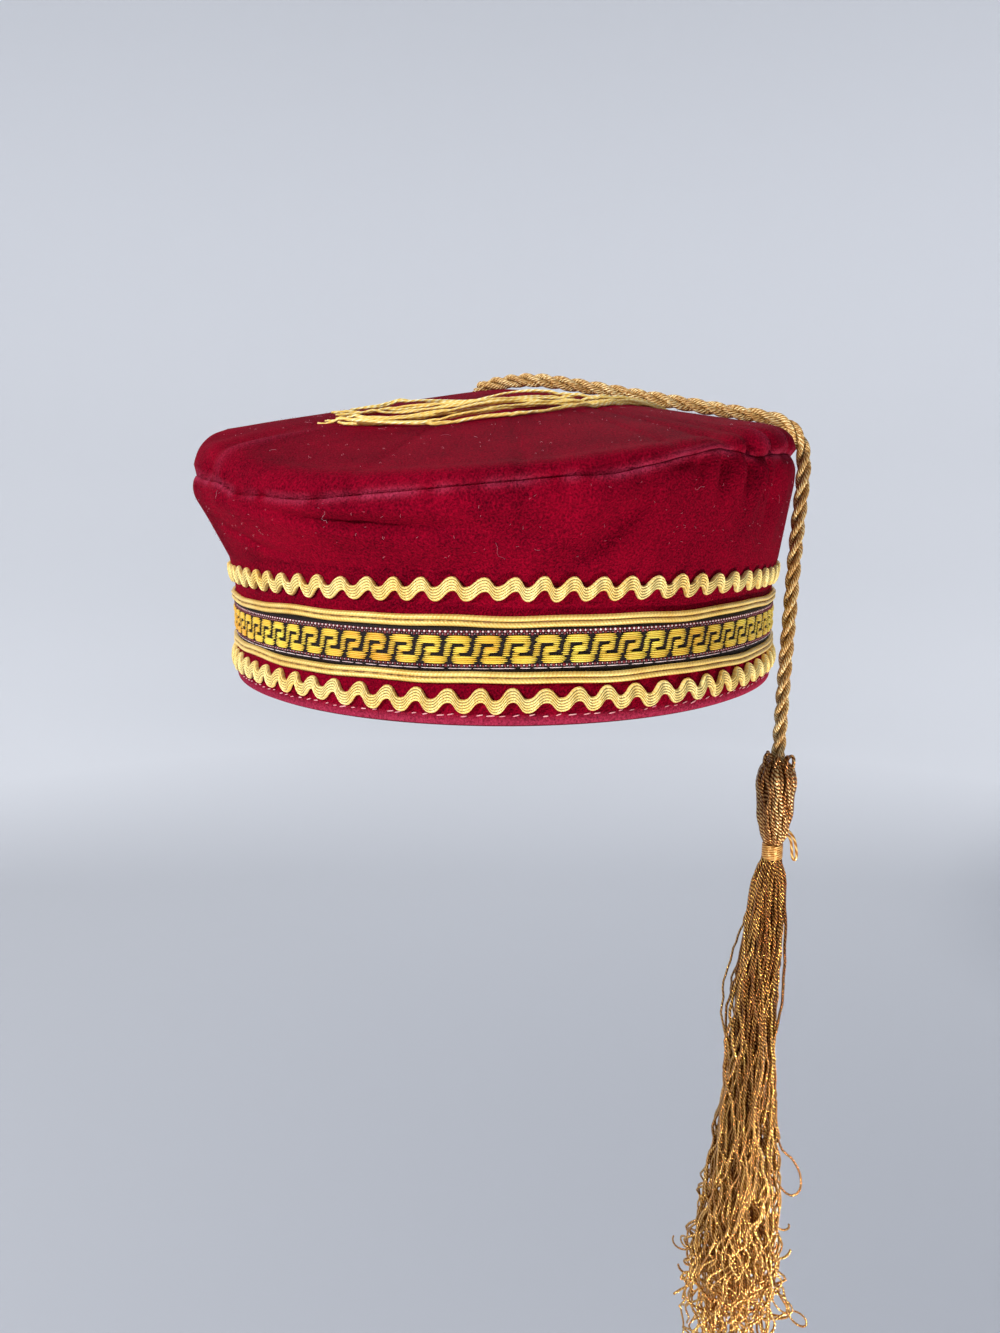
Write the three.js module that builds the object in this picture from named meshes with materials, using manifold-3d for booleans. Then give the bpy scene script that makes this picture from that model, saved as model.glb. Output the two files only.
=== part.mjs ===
// A velvet smoking cap of the fez family: a soft domed crown sewn to a side wall, with five
// rows of sewn trim, a spray of loose strands on top and a tassel on a twisted cord.
// Millimetres, +Z up. The origin is the centre of the rim opening, and the front faces -Y.
import * as THREE from "three";
import { mergeVertices } from "three/addons/utils/BufferGeometryUtils.js";
import Module from "manifold-3d";

const wasm = await Module();
wasm.setup();

// Driving dimensions of the cap
const RIM_HALF_WIDTH = 84;
const RIM_HALF_DEPTH = 100;
const WALL = 2;
const GAP = 0.3;
const APEX_HEIGHT = 86.2;
const BAND_TOP = 35;
const SEAM_PINCH = 1.8;
const APEX_EASE = 0.08;
const TURN_STEPS = 72;
const BACK_TURN = 90;

// The crown at every 30 degrees of turn, from the right-hand side through the back: the height
// of the seam, how far the crown flares past the rim there, and the height of the shoulder.
const CROWN_SECTIONS = [
  { seam: 62.5, flare: 4.0, shoulder: 72.5 },
  { seam: 63.0, flare: 5.5, shoulder: 75.0 },
  { seam: 62.0, flare: 7.5, shoulder: 76.0 },
  { seam: 61.5, flare: 8.5, shoulder: 75.5 },
  { seam: 61.0, flare: 9.0, shoulder: 75.5 },
  { seam: 60.5, flare: 9.5, shoulder: 75.5 },
  { seam: 59.0, flare: 9.5, shoulder: 74.0 },
  { seam: 56.5, flare: 10.5, shoulder: 68.5 },
  { seam: 50.5, flare: 12.0, shoulder: 58.0 },
  { seam: 53.2, flare: 12.0, shoulder: 58.0 },
  { seam: 58.8, flare: 9.0, shoulder: 64.5 },
  { seam: 62.3, flare: 5.5, shoulder: 71.0 },
];

// The lower, stiffer part of the side wall: height and outward step from the rim oval.
const BAND_STATIONS = [
  { height: 0, outward: 0.6 },
  { height: 2.7, outward: 0.9 },
  { height: 6.1, outward: 0.8 },
  { height: 11.1, outward: 0 },
  { height: 23.9, outward: 0 },
  { height: 30.6, outward: 0.6 },
  { height: BAND_TOP, outward: 1.5 },
];

// The soft part of the side wall: share of the way up to the seam, and share of the flare.
const PANEL_STATIONS = [
  { rise: 0.5, flare: 0.62 },
  { rise: 0.75, flare: 0.95 },
  { rise: 0.92, flare: 1 },
  { rise: 1, flare: 1 },
];

// Stations of both tables, counted together, that the inside of the side wall follows.
const INNER_SIDE_ROWS = [0, 3, 4, 6, 7, 8, 10];

// The rounded edge of the crown top: inset from the flare, share of the way from the seam up to
// the shoulder, and how far the wall's thickness has turned from sideways to downwards.
const SHOULDER_STATIONS = [
  { inset: SEAM_PINCH, rise: 0, lean: 0 },
  { inset: 0.2, rise: 0.25, lean: 0.1 },
  { inset: 1.5, rise: 0.6, lean: 0.35 },
  { inset: 4.5, rise: 0.86, lean: 0.65 },
  { inset: 9, rise: 1, lean: 0.9 },
];
const DOME_RINGS = [0.72, 0.4, 0.14];
const INNER_TOP_ROWS = [0, 2, 4, 6];

// Soft folds: turn and spread in degrees, share of the height and spread of that share, how much
// the share climbs with each degree of turn, and depth in millimetres, outward when positive.
const SIDE_FOLDS = [
  { turn: 248, spread: 20, share: 0.5, reach: 0.14, climb: 0, depth: -2.6 },
  { turn: 248, spread: 26, share: 0.8, reach: 0.18, climb: 0, depth: 1.5 },
  { turn: 228, spread: 10, share: 0.17, reach: 0.14, climb: -0.0115, depth: -1.5 },
  { turn: 315, spread: 3.5, share: 0.95, reach: 0.5, climb: 0, depth: -1.4 },
  { turn: 325, spread: 3.5, share: 0.95, reach: 0.6, climb: 0, depth: -1.7 },
  { turn: 335, spread: 3.5, share: 0.95, reach: 0.5, climb: 0, depth: -1.7 },
  { turn: 345, spread: 3.5, share: 0.95, reach: 0.4, climb: 0, depth: -1.2 },
];
const TOP_FOLDS = [
  { turn: 197, spread: 7, share: 0.4, reach: 0.5, climb: 0, depth: -2.2 },
  { turn: 210, spread: 7, share: 0.8, reach: 0.5, climb: 0, depth: 1.4 },
  { turn: 335, spread: 3.5, share: 0.3, reach: 0.5, climb: 0, depth: -1.8 },
  { turn: 302, spread: 8, share: 0.7, reach: 0.35, climb: 0, depth: -1.2 },
];

// Sewn trims: middle height, width and thickness.
const TRIM_THICKNESS = 1;
const BRAID_WIDTH = 2.5;
const BRAID_HEIGHTS = { braid_lower: 11.1, braid_upper: 23.9 };
const RIBBON_WIDTH = 9.7;
const RIBBON_HEIGHT = 17.5;
const RICKRACK_WIDTH = 3.5;
const RICKRACK_SWING = 1.45;
const RICKRACK_WAVES = { rickrack_lower: 84, rickrack_upper: 86 };
const RICKRACK_HEIGHTS = { rickrack_lower: 6.1, rickrack_upper: 30.6 };
const STEPS_PER_WAVE = 2;

// The spray of strands across the crown top: flat locks that lie side by side from left to
// right, each with its place at the middle and at its two ends, and a tie across them all.
const SPRAY_HALF_WIDTH = 2.4;
const SPRAY_HALF_HEIGHT = 0.9;
const SPRAY_STEPS = 6;
const SPRAY_LOCKS = [
  { middle: -28, left: [-45, -37], right: [45, -24.5] },
  { middle: -34, left: [-48, -40], right: [49, -25] },
  { middle: -40, left: [-50, -43.5], right: [51, -26] },
  { middle: -46, left: [-50, -47], right: [48, -29] },
  { middle: -52, left: [-47, -50.5], right: [43, -33] },
  { middle: -58, left: [-41, -54], right: [36, -38] },
];
const SPRAY_TIE = { across: 21, halfWidth: 1.6, halfHeight: 1.2, front: -56.5, back: -25 };

// The twisted cord: its route from the middle of the crown, over the edge and down to the tassel.
const CORD_DIAMETER = 4.4;
const CORD_SIDES = 8;
const CORD_STEPS = 30;
const CORD_ROUTE = [
  [-8, 3, 88.5],
  [-1, 0, 89],
  [6, -4, 88.7],
  [12, -7, 88.1],
  [18, -9.3, 87],
  [24, -10.8, 85.9],
  [30, -12.3, 84.7],
  [41.6, -15.2, 82.3],
  [53.3, -18.1, 80],
  [64.8, -20.9, 77.7],
  [71, -22.4, 76.5],
  [76.4, -23.8, 75.4],
  [81.3, -24.9, 74.1],
  [84.9, -25.8, 71.8],
  [87.3, -26.4, 68.4],
  [88.6, -26.6, 64.5],
  [88.9, -26.7, 60],
  [88.8, -26.7, 54],
  [88.3, -26.5, 44],
  [87.8, -26.4, 30],
  [87.4, -26.3, 14],
  [87, -26.2, -2],
  [86.8, -26.1, -17],
  [86.6, -26, -31],
];

// The tassel hangs on the cord's lower end.
const TASSEL_TOP = -31.3;
const NECK_TOP = -58;
const NECK_BOTTOM = -63.7;
const SKIRT_BOTTOM = -246;
const NECK_RADIUS = 2.3;
const BINDING_THICKNESS = 0.7;
const BINDING_SWELL = 0.2;
const TASSEL_SIDES = 12;
const HEAD_PROFILE = [
  { down: 0, radius: 2.2 },
  { down: 4, radius: 4.4 },
  { down: 10, radius: 5.4 },
  { down: 18, radius: 5.1 },
  { down: 24, radius: 3.7 },
];
// The middle of the skirt: share of the neck-to-tip length, and radius there.
const SKIRT_CORE = [
  { down: 0.1, radius: 5 },
  { down: 0.4, radius: 7.5 },
  { down: 0.9, radius: 10 },
];
// Skirt locks ring by ring: how many, share of the neck-to-tip length, spread at the tip, and
// the turn of the first.
const SKIRT_RINGS = [
  { locks: 4, length: 1, spread: 5, start: 0 },
  { locks: 8, length: 0.95, spread: 14, start: 20 },
];
const SKIRT_LOCK_RADIUS = { neck: 1.3, tip: 3.6 };
const SKIRT_STEPS = 5;
const SKIRT_RAGGED = 0.03;
const SKIRT_OPENING = 1.2;
const SKIRT_SWAY = { distance: 1.6, waves: 6 };
const SKIRT_TWIST = { angle: 0.25, waves: 4 };
const SKIRT_LEAN = -5;
const LOCK_ROOT = 2;
const LOCK_SIDES = 6;

const COLOURS = {
  velvet: 0x7a0f26,
  gold_braid: 0xdca646,
  ribbon: 0x2a1512,
  yellow: 0xe0b93c,
  old_gold: 0xa9702a,
};

const radians = THREE.MathUtils.degToRad;

// How far the dome has dropped at a share of the way out to the shoulder: straight, with a soft tip.
function domeDrop(share) {
  return (Math.hypot(share, APEX_EASE) - APEX_EASE) / (Math.hypot(1, APEX_EASE) - APEX_EASE);
}

// The crown's own numbers at any turn, smooth between the rows of the table.
const crownCurve = new THREE.CatmullRomCurve3(
  CROWN_SECTIONS.map((row) => new THREE.Vector3(row.seam, row.flare, row.shoulder)),
  true,
  "catmullrom",
);

function sectionAt(turn) {
  const at = crownCurve.getPoint(THREE.MathUtils.euclideanModulo(turn, 360) / 360);
  return { seam: at.x, flare: at.y, shoulder: at.z };
}

function ovalPoint(turn, outward, height) {
  const angle = radians(turn);
  return new THREE.Vector3(
    (RIM_HALF_WIDTH + outward) * Math.cos(angle),
    (RIM_HALF_DEPTH + outward) * Math.sin(angle),
    height,
  );
}

// The sum of the folds' pushes at one place on the cloth.
function foldPush(folds, turn, share) {
  return folds.reduce((sum, fold) => {
    const away = THREE.MathUtils.euclideanModulo(turn - fold.turn + 180, 360) - 180;
    const along = away / fold.spread;
    const up = (share - fold.share - fold.climb * away) / fold.reach;
    return sum + fold.depth * Math.exp(-along * along - up * up);
  }, 0);
}

// The outside of the side wall at one turn, from the hem up to the seam.
function sideStations(turn) {
  const { seam, flare } = sectionAt(turn);
  const bandOutward = BAND_STATIONS.at(-1).outward;
  const panel = PANEL_STATIONS.map(({ rise, flare: share }) => {
    const atSeam = rise === 1;
    const push = atSeam ? -SEAM_PINCH : foldPush(SIDE_FOLDS, turn, rise);
    return {
      height: THREE.MathUtils.lerp(BAND_TOP, seam, rise),
      outward: THREE.MathUtils.lerp(bandOutward, flare, share) + push,
    };
  });
  return [...BAND_STATIONS, ...panel];
}

// How far the side wall stands out from the rim oval at one turn and height.
function sideOutward(turn, height) {
  const stations = sideStations(turn);
  const above = stations.findIndex((station) => station.height >= height);
  const high = stations[Math.max(above, 1)];
  const low = stations[Math.max(above, 1) - 1];
  const share = (height - low.height) / (high.height - low.height);
  return THREE.MathUtils.lerp(low.outward, high.outward, share);
}

// One ring of the crown top's outside: a point for each turn, and the way its wall is thick.
function topRow(turn, row) {
  const { seam, flare, shoulder } = sectionAt(turn);
  const edge = SHOULDER_STATIONS[Math.min(row, SHOULDER_STATIONS.length - 1)];
  const lift = row === 0 ? GAP : 0;
  const push = row === 0 ? 0 : foldPush(TOP_FOLDS, turn, edge.rise);
  const height = THREE.MathUtils.lerp(seam, shoulder, edge.rise) + lift;
  const point = ovalPoint(turn, flare - edge.inset + push * (1 - edge.lean), height);
  point.z += push * edge.lean;
  if (row < SHOULDER_STATIONS.length) return { point, lean: edge.lean };
  const ring = DOME_RINGS[row - SHOULDER_STATIONS.length];
  const drop = (APEX_HEIGHT - point.z) * domeDrop(ring);
  return { point: new THREE.Vector3(point.x * ring, point.y * ring, APEX_HEIGHT - drop), lean: 1 };
}

// The same place on the inside of the crown top's wall.
function topInside(turn, row) {
  const { point, lean } = topRow(turn, row);
  const inward = ovalPoint(turn, -RIM_HALF_WIDTH, 0).sub(ovalPoint(turn, 0, 0)).normalize();
  return point.addScaledVector(inward, WALL * (1 - lean)).setZ(point.z - WALL * lean);
}

// The height of the crown top over a place on it, for what lies there.
function topHeight(x, y) {
  const turn = THREE.MathUtils.radToDeg(Math.atan2(y / RIM_HALF_DEPTH, x / RIM_HALF_WIDTH));
  const { point } = topRow(turn, SHOULDER_STATIONS.length - 1);
  const share = Math.hypot(x, y) / Math.hypot(point.x, point.y);
  return APEX_HEIGHT - (APEX_HEIGHT - point.z) * domeDrop(share);
}

// A closed mesh from rows of points around the turn. Each row joins the next, and the last row
// joins the first unless the rows end in single points.
function ringMesh(rows, { closed }) {
  const positions = [];
  const starts = rows.map((row) => {
    const start = positions.length / 3;
    row.forEach((point) => positions.push(point.x, point.y, point.z));
    return start;
  });
  const index = [];
  const pairs = closed ? rows.length : rows.length - 1;
  for (let i = 0; i < pairs; i++) {
    const next = (i + 1) % rows.length;
    const across = Math.max(rows[i].length, rows[next].length);
    for (let j = 0; j < across; j++) {
      const corner = (row, step) => starts[row] + (step % rows[row].length);
      const [a, b] = [corner(i, j), corner(i, j + 1)];
      const [c, d] = [corner(next, j + 1), corner(next, j)];
      if (a !== b) index.push(a, b, c);
      if (c !== d) index.push(a, c, d);
    }
  }
  const geometry = new THREE.BufferGeometry();
  geometry.setAttribute("position", new THREE.Float32BufferAttribute(positions, 3));
  return geometry.setIndex(index);
}

function turns(count) {
  return Array.from({ length: count }, (_, i) => (i * 360) / count);
}

// Turns that share out the length of the rim evenly, from the back round.
const RIM_OVAL = new THREE.EllipseCurve(
  0,
  0,
  RIM_HALF_WIDTH,
  RIM_HALF_DEPTH,
  radians(BACK_TURN),
  radians(BACK_TURN + 360),
);

function evenTurns(count) {
  return turns(count).map((turn) => BACK_TURN + 360 * RIM_OVAL.getUtoTmapping(turn / 360));
}

// Manifold joins and cuts closed meshes whose shared corners are merged.
function toSolid(geometry) {
  const bare = geometry.clone();
  bare.deleteAttribute("normal");
  bare.deleteAttribute("uv");
  const merged = mergeVertices(bare, 1e-4);
  return new wasm.Manifold(
    new wasm.Mesh({
      numProp: 3,
      vertProperties: new Float32Array(merged.attributes.position.array),
      triVerts: new Uint32Array(merged.index.array),
    }),
  );
}

function fused(geometries) {
  const solid = geometries.map(toSolid).reduce((all, next) => all.add(next));
  const made = solid.getMesh();
  const geometry = new THREE.BufferGeometry();
  geometry.setAttribute("position", new THREE.Float32BufferAttribute(made.vertProperties, 3));
  return geometry.setIndex(new THREE.BufferAttribute(made.triVerts, 1));
}

function tube(points, radius, sides, steps) {
  const section = new THREE.Shape(
    turns(sides).map(
      (turn) => new THREE.Vector2(radius * Math.cos(radians(turn)), radius * Math.sin(radians(turn))),
    ),
  );
  const path = new THREE.CatmullRomCurve3(points.map((p) => new THREE.Vector3(...p)));
  return new THREE.ExtrudeGeometry(section, { steps, extrudePath: path, bevelEnabled: false });
}

// A solid turned about the tassel's own plumb line.
function turned(profile) {
  const points = profile.map(({ radius, height }) => new THREE.Vector2(radius, height));
  return new THREE.LatheGeometry(points, TASSEL_SIDES).rotateX(Math.PI / 2);
}

// Crown

function crownSide() {
  const around = turns(TURN_STEPS);
  const outer = sideStations(0).map((_, row) =>
    around.map((turn) => {
      const { outward, height } = sideStations(turn)[row];
      return ovalPoint(turn, outward, height);
    }),
  );
  const inner = INNER_SIDE_ROWS.map((row) =>
    around.map((turn) => {
      const { outward, height } = sideStations(turn)[row];
      return ovalPoint(turn, outward - WALL, height);
    }),
  );
  return ringMesh([...outer, ...inner.reverse()], { closed: true });
}

function crownTop() {
  const around = turns(TURN_STEPS);
  const rowCount = SHOULDER_STATIONS.length + DOME_RINGS.length;
  const rows = Array.from({ length: rowCount }, (_, row) => row);
  const outer = rows.map((row) => around.map((turn) => topRow(turn, row).point));
  const inner = INNER_TOP_ROWS.map((row) => around.map((turn) => topInside(turn, row)));
  const apex = [new THREE.Vector3(0, 0, APEX_HEIGHT)];
  const insideApex = [new THREE.Vector3(0, 0, APEX_HEIGHT - WALL)];
  return ringMesh([insideApex, ...inner.reverse(), ...outer, apex], { closed: false });
}

// Trims

// A flat strip sewn round the side wall, whose middle height may swing with the turn.
function strip(steps, width, heightAt) {
  const corners = [
    { across: -0.5, out: GAP },
    { across: -0.5, out: GAP + TRIM_THICKNESS },
    { across: 0.5, out: GAP + TRIM_THICKNESS },
    { across: 0.5, out: GAP },
  ];
  const rows = corners.map(({ across, out }) =>
    evenTurns(steps).map((turn, step) => {
      const height = heightAt(step) + across * width;
      return ovalPoint(turn, sideOutward(turn, height) + out, height);
    }),
  );
  return ringMesh(rows, { closed: true });
}

function rickrack(name) {
  const swing = (step) => RICKRACK_SWING * (step % STEPS_PER_WAVE === 0 ? 1 : -1);
  return strip(
    RICKRACK_WAVES[name] * STEPS_PER_WAVE,
    RICKRACK_WIDTH,
    (step) => RICKRACK_HEIGHTS[name] + swing(step),
  );
}

function flatTrim(width, height) {
  return strip(TURN_STEPS, width, () => height);
}

// Spray of strands on the crown top

// A closed lock from rings of points, with its two ends drawn to their middles.
function lock(rings) {
  const middle = (ring) => [
    ring.reduce((sum, point) => sum.add(point), new THREE.Vector3()).divideScalar(ring.length),
  ];
  return ringMesh([middle(rings[0]), ...rings, middle(rings.at(-1))], { closed: false });
}

// A flat section lying on the crown top about one place, its width along the given direction.
function flatSection(x, y, along, halfWidth, halfHeight) {
  return turns(LOCK_SIDES).map((turn) => {
    const side = halfWidth * Math.cos(radians(turn));
    const up = halfHeight * (1 + Math.sin(radians(turn)));
    const [px, py] = [x + along[0] * side, y + along[1] * side];
    return new THREE.Vector3(px, py, topHeight(px, py) + GAP + up);
  });
}

function crownSpray() {
  const shares = Array.from({ length: SPRAY_STEPS + 1 }, (_, i) => i / SPRAY_STEPS);
  const locks = SPRAY_LOCKS.map(({ middle, left, right }) => {
    const bow = new THREE.QuadraticBezierCurve(
      new THREE.Vector2(...left),
      new THREE.Vector2((left[0] + right[0]) / 2, 2 * middle - (left[1] + right[1]) / 2),
      new THREE.Vector2(...right),
    );
    const rings = shares.map((share) => {
      const { x, y } = bow.getPoint(share);
      return flatSection(x, y, [0, 1], SPRAY_HALF_WIDTH, SPRAY_HALF_HEIGHT);
    });
    return lock(rings);
  });
  const { across, halfWidth, halfHeight, front, back } = SPRAY_TIE;
  const tie = shares.map((share) => {
    const y = THREE.MathUtils.lerp(front, back, share);
    return flatSection(across, y, [-1, 0], halfWidth, halfHeight);
  });
  return fused([...locks, lock(tie)]);
}

// Tassel

function tasselBody() {
  const [x, y] = CORD_ROUTE.at(-1);
  const head = HEAD_PROFILE.map(({ down, radius }) => ({ radius, height: TASSEL_TOP - down }));
  const skirtLength = NECK_BOTTOM - SKIRT_BOTTOM;
  const core = [
    { radius: NECK_RADIUS, height: NECK_TOP },
    { radius: NECK_RADIUS, height: NECK_BOTTOM },
    ...SKIRT_CORE.map(({ down, radius }) => ({ radius, height: NECK_BOTTOM - skirtLength * down })),
  ];
  const outline = [
    { radius: 0, height: core.at(-1).height },
    ...[...head, ...core].reverse(),
    { radius: 0, height: TASSEL_TOP },
  ];
  const locks = SKIRT_RINGS.flatMap(({ locks: count, length, spread, start }) =>
    turns(count).map((turn, i) => {
      const reach = skirtLength * (length - SKIRT_RAGGED * (i % 3));
      return skirtLock(turn + start, spread, reach);
    }),
  );
  const body = fused([turned(outline), ...locks]).translate(x, y, 0);
  const places = body.attributes.position;
  for (let i = 0; i < places.count; i++) {
    const below = Math.max(0, NECK_BOTTOM - places.getZ(i)) / skirtLength;
    places.setX(i, places.getX(i) + SKIRT_LEAN * below);
  }
  return body;
}

// One lock: a tube that leaves the neck, swings out and widens towards its tip.
function skirtLock(turn, spread, reach) {
  const angle = radians(turn);
  const ring = (share) => {
    const sway = SKIRT_SWAY.distance * Math.sin(SKIRT_SWAY.waves * share + angle);
    const out = NECK_RADIUS * (1 - share) + spread * share ** SKIRT_OPENING + sway;
    const lean = angle + SKIRT_TWIST.angle * Math.sin(SKIRT_TWIST.waves * share + turn);
    const radius = THREE.MathUtils.lerp(SKIRT_LOCK_RADIUS.neck, SKIRT_LOCK_RADIUS.tip, share);
    const height = NECK_BOTTOM - THREE.MathUtils.lerp(LOCK_ROOT, reach, share);
    const centre = new THREE.Vector3(out * Math.cos(lean), out * Math.sin(lean), height);
    return turns(LOCK_SIDES).map((side) => {
      const across = radians(side);
      return new THREE.Vector3(radius * Math.cos(across), radius * Math.sin(across), 0).add(centre);
    });
  };
  return lock(Array.from({ length: SKIRT_STEPS + 1 }, (_, i) => ring(1 - i / SKIRT_STEPS)));
}

function tasselBinding() {
  const [x, y] = CORD_ROUTE.at(-1);
  const inside = NECK_RADIUS + GAP;
  const outside = inside + BINDING_THICKNESS;
  const [low, high] = [NECK_BOTTOM + GAP, NECK_TOP - GAP];
  const ring = [
    { radius: inside, height: low },
    { radius: outside, height: low },
    { radius: outside + BINDING_SWELL, height: (low + high) / 2 },
    { radius: outside, height: high },
    { radius: inside, height: high },
    { radius: inside, height: low },
  ];
  return turned(ring).translate(x, y, 0);
}

// Assembly

function material(colour, roughness) {
  return new THREE.MeshStandardMaterial({ color: colour, roughness, metalness: 0 });
}

const finishes = {
  velvet: material(COLOURS.velvet, 0.9),
  gold_braid: material(COLOURS.gold_braid, 0.6),
  ribbon: material(COLOURS.ribbon, 0.7),
  yellow: material(COLOURS.yellow, 0.6),
  old_gold: material(COLOURS.old_gold, 0.5),
};

const cap = new THREE.Group();

function addPiece(name, geometry, finish) {
  const mesh = new THREE.Mesh(geometry, finishes[finish]);
  mesh.name = name;
  cap.add(mesh);
}

addPiece("crown_side", crownSide(), "velvet");
addPiece("crown_top", crownTop(), "velvet");
for (const name of Object.keys(RICKRACK_WAVES)) addPiece(name, rickrack(name), "gold_braid");
for (const [name, height] of Object.entries(BRAID_HEIGHTS)) {
  addPiece(name, flatTrim(BRAID_WIDTH, height), "gold_braid");
}
addPiece("key_ribbon", flatTrim(RIBBON_WIDTH, RIBBON_HEIGHT), "ribbon");
addPiece("crown_spray", crownSpray(), "yellow");
addPiece("tassel_cord", tube(CORD_ROUTE, CORD_DIAMETER / 2, CORD_SIDES, CORD_STEPS), "old_gold");
addPiece("tassel", tasselBody(), "old_gold");
addPiece("tassel_binding", tasselBinding(), "old_gold");

export default cap;
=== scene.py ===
import math

import bpy
import numpy as np
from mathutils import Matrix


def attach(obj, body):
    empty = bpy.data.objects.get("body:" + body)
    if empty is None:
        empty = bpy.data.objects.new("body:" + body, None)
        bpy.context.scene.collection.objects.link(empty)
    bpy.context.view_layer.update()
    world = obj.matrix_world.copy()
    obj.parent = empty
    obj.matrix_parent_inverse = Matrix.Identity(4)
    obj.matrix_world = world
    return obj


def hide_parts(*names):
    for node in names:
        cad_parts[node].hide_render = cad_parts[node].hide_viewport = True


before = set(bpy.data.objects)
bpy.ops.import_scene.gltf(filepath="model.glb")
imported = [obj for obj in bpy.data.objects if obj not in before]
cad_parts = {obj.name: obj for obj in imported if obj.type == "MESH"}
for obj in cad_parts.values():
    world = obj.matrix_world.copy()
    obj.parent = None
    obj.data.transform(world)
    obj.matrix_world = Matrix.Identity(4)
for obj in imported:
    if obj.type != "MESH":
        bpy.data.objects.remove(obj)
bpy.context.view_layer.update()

MM = 0.001
FULL_TURN = 2 * math.pi
SEED = 57

# Camera, at the photograph's place

PHOTO_HEIGHT = 1333
PHOTO_FOCAL = 850
SENSOR_MM = 36
CAMERA_PLACE = (-0.0011, -0.2851, 0.0469)
CAMERA_DIP = 10.16
NEAREST_SEEN = 0.005


def add_camera():
    data = bpy.data.cameras.new("photo_camera")
    data.sensor_width = SENSOR_MM
    data.lens = SENSOR_MM * PHOTO_FOCAL / PHOTO_HEIGHT
    data.clip_start = NEAREST_SEEN
    camera = bpy.data.objects.new("photo_camera", data)
    camera.location = CAMERA_PLACE
    camera.rotation_euler = (math.radians(90 - CAMERA_DIP), 0, 0)
    bpy.context.scene.collection.objects.link(camera)
    bpy.context.scene.camera = camera


# Smooth curves and lines

FINE_STEPS = 16
CURVE_POINTS = 200
WAVE_SIZES = (0.5, 1.0)


def seeded(step):
    return np.random.default_rng(SEED + step)


def cubic(p0, p1, p2, p3, t):
    """A smooth curve between p1 and p2 that also heeds their neighbours."""
    return 0.5 * (
        2 * p1
        + (p2 - p0) * t
        + (2 * p0 - 5 * p1 + 4 * p2 - p3) * t**2
        + (3 * p1 - p0 - 3 * p2 + p3) * t**3
    )


def around(table, turn):
    """The columns of a table whose rows share out the full turn, smooth between the rows."""
    rows = len(table)
    place = np.mod(turn, 360.0) * rows / 360.0
    low = np.floor(place).astype(int)
    share = (place - low)[..., None]
    return cubic(*(table[(low + step) % rows] for step in (-1, 0, 1, 2)), share)


def down_table(table, shares):
    """The columns of a table at shares of the way down its rows."""
    at = np.asarray(shares) * (len(table) - 1)
    return [np.interp(at, np.arange(len(table)), column) for column in table.T]


def run_along(line):
    """The length of a line up to each of its points."""
    return np.concatenate([[0.0], np.cumsum(np.linalg.norm(np.diff(line, axis=0), axis=1))])


def smooth_line(points, count):
    """A smooth curve through the points, as evenly spaced points."""
    points = np.asarray(points, float)
    ends = (2 * points[0] - points[1], 2 * points[-1] - points[-2])
    padded = np.vstack([ends[0], points, ends[1]])
    share = np.linspace(0, 1, FINE_STEPS, endpoint=False)[:, None]
    spans = [cubic(*padded[k:k + 4], share) for k in range(len(points) - 1)]
    fine = np.vstack([*spans, points[-1:]])
    run = run_along(fine)
    at = np.linspace(0, run[-1], count)
    return np.column_stack([np.interp(at, run, column) for column in fine.T])


def unit(vectors):
    return vectors / np.linalg.norm(vectors, axis=-1, keepdims=True)


def sides_along(line):
    """Two directions across a line at each of its points, turned as little as possible."""
    ahead = unit(np.gradient(line, axis=0))
    side = np.empty_like(line)
    current = np.eye(3)[np.argmin(np.abs(ahead[0]))]
    for k, direction in enumerate(ahead):
        current = unit(current - direction * (current @ direction))
        side[k] = current
    return side, np.cross(ahead, side)


def wander(rng, places, waves, size):
    """A smooth random swing along places from 0 to 1, made of a few waves."""
    total = np.zeros_like(places)
    for wave in waves:
        phase = rng.uniform(0, FULL_TURN)
        total += rng.uniform(*WAVE_SIZES) * np.sin(FULL_TURN * wave * places + phase)
    return size * total / len(waves)


# The cap's shape, as its solids have it

RIM_HALF_WIDTH = 84 * MM
RIM_HALF_DEPTH = 100 * MM
WALL = 2 * MM
APEX_HEIGHT = 86.2 * MM
APEX_EASE = 0.08
BAND_TOP = 35 * MM
SEAM_TUCK = 1.6 * MM
ROLL_START = 0.86
SETTLE_RISE = 0.15
PINCH_RISE = 0.3
FADE_RISE = 0.1
CROWN_REACH = 6
LAST_LEAN = 0.9
BACK_TURN = 90
OVAL_POINTS = 2881

# Seam height, flare past the rim and shoulder height, every 30 degrees of turn.
CROWN_SECTIONS = MM * np.array([
    (62.5, 4.0, 72.5), (63.0, 5.5, 75.0), (62.0, 7.5, 76.0), (61.5, 8.5, 75.5),
    (61.0, 9.0, 75.5), (60.5, 9.5, 75.5), (59.0, 9.5, 74.0), (56.5, 10.5, 68.5),
    (50.5, 12.0, 58.0), (53.2, 12.0, 58.0), (58.8, 9.0, 64.5), (62.3, 5.5, 71.0),
])

# How far the seam draws the cloth in, every 30 degrees of turn.
SEAM_PINCH = MM * np.array([
    [1.8], [1.6], [1.2], [1.2], [1.2], [1.4], [1.3], [0.8], [0.5], [0.35], [0.7], [1.5],
])

# Where the hand-sewn seam strays from its height: turn, spread and millimetres.
SEAM_STRAYS = [
    (222, 3.0, 0.6), (229, 4.0, -0.8), (243, 5.0, -0.5), (283, 4.0, -0.7), (293, 3.0, 0.5),
    (300.5, 6.0, 2.1), (311, 2.5, -0.6), (20, 5.0, 0.8),
    (75, 6.0, -0.9), (130, 5.0, 0.9), (165, 5.0, -0.8),
]

# Height and outward step from the rim oval, up the band.
BAND_CURVE = smooth_line(MM * np.array([
    (0, 0.6), (2.7, 0.9), (6.1, 0.8), (11.1, 0), (17.5, 0), (23.9, 0), (30.6, 0.6), (35, 1.5),
]), CURVE_POINTS)

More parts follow.
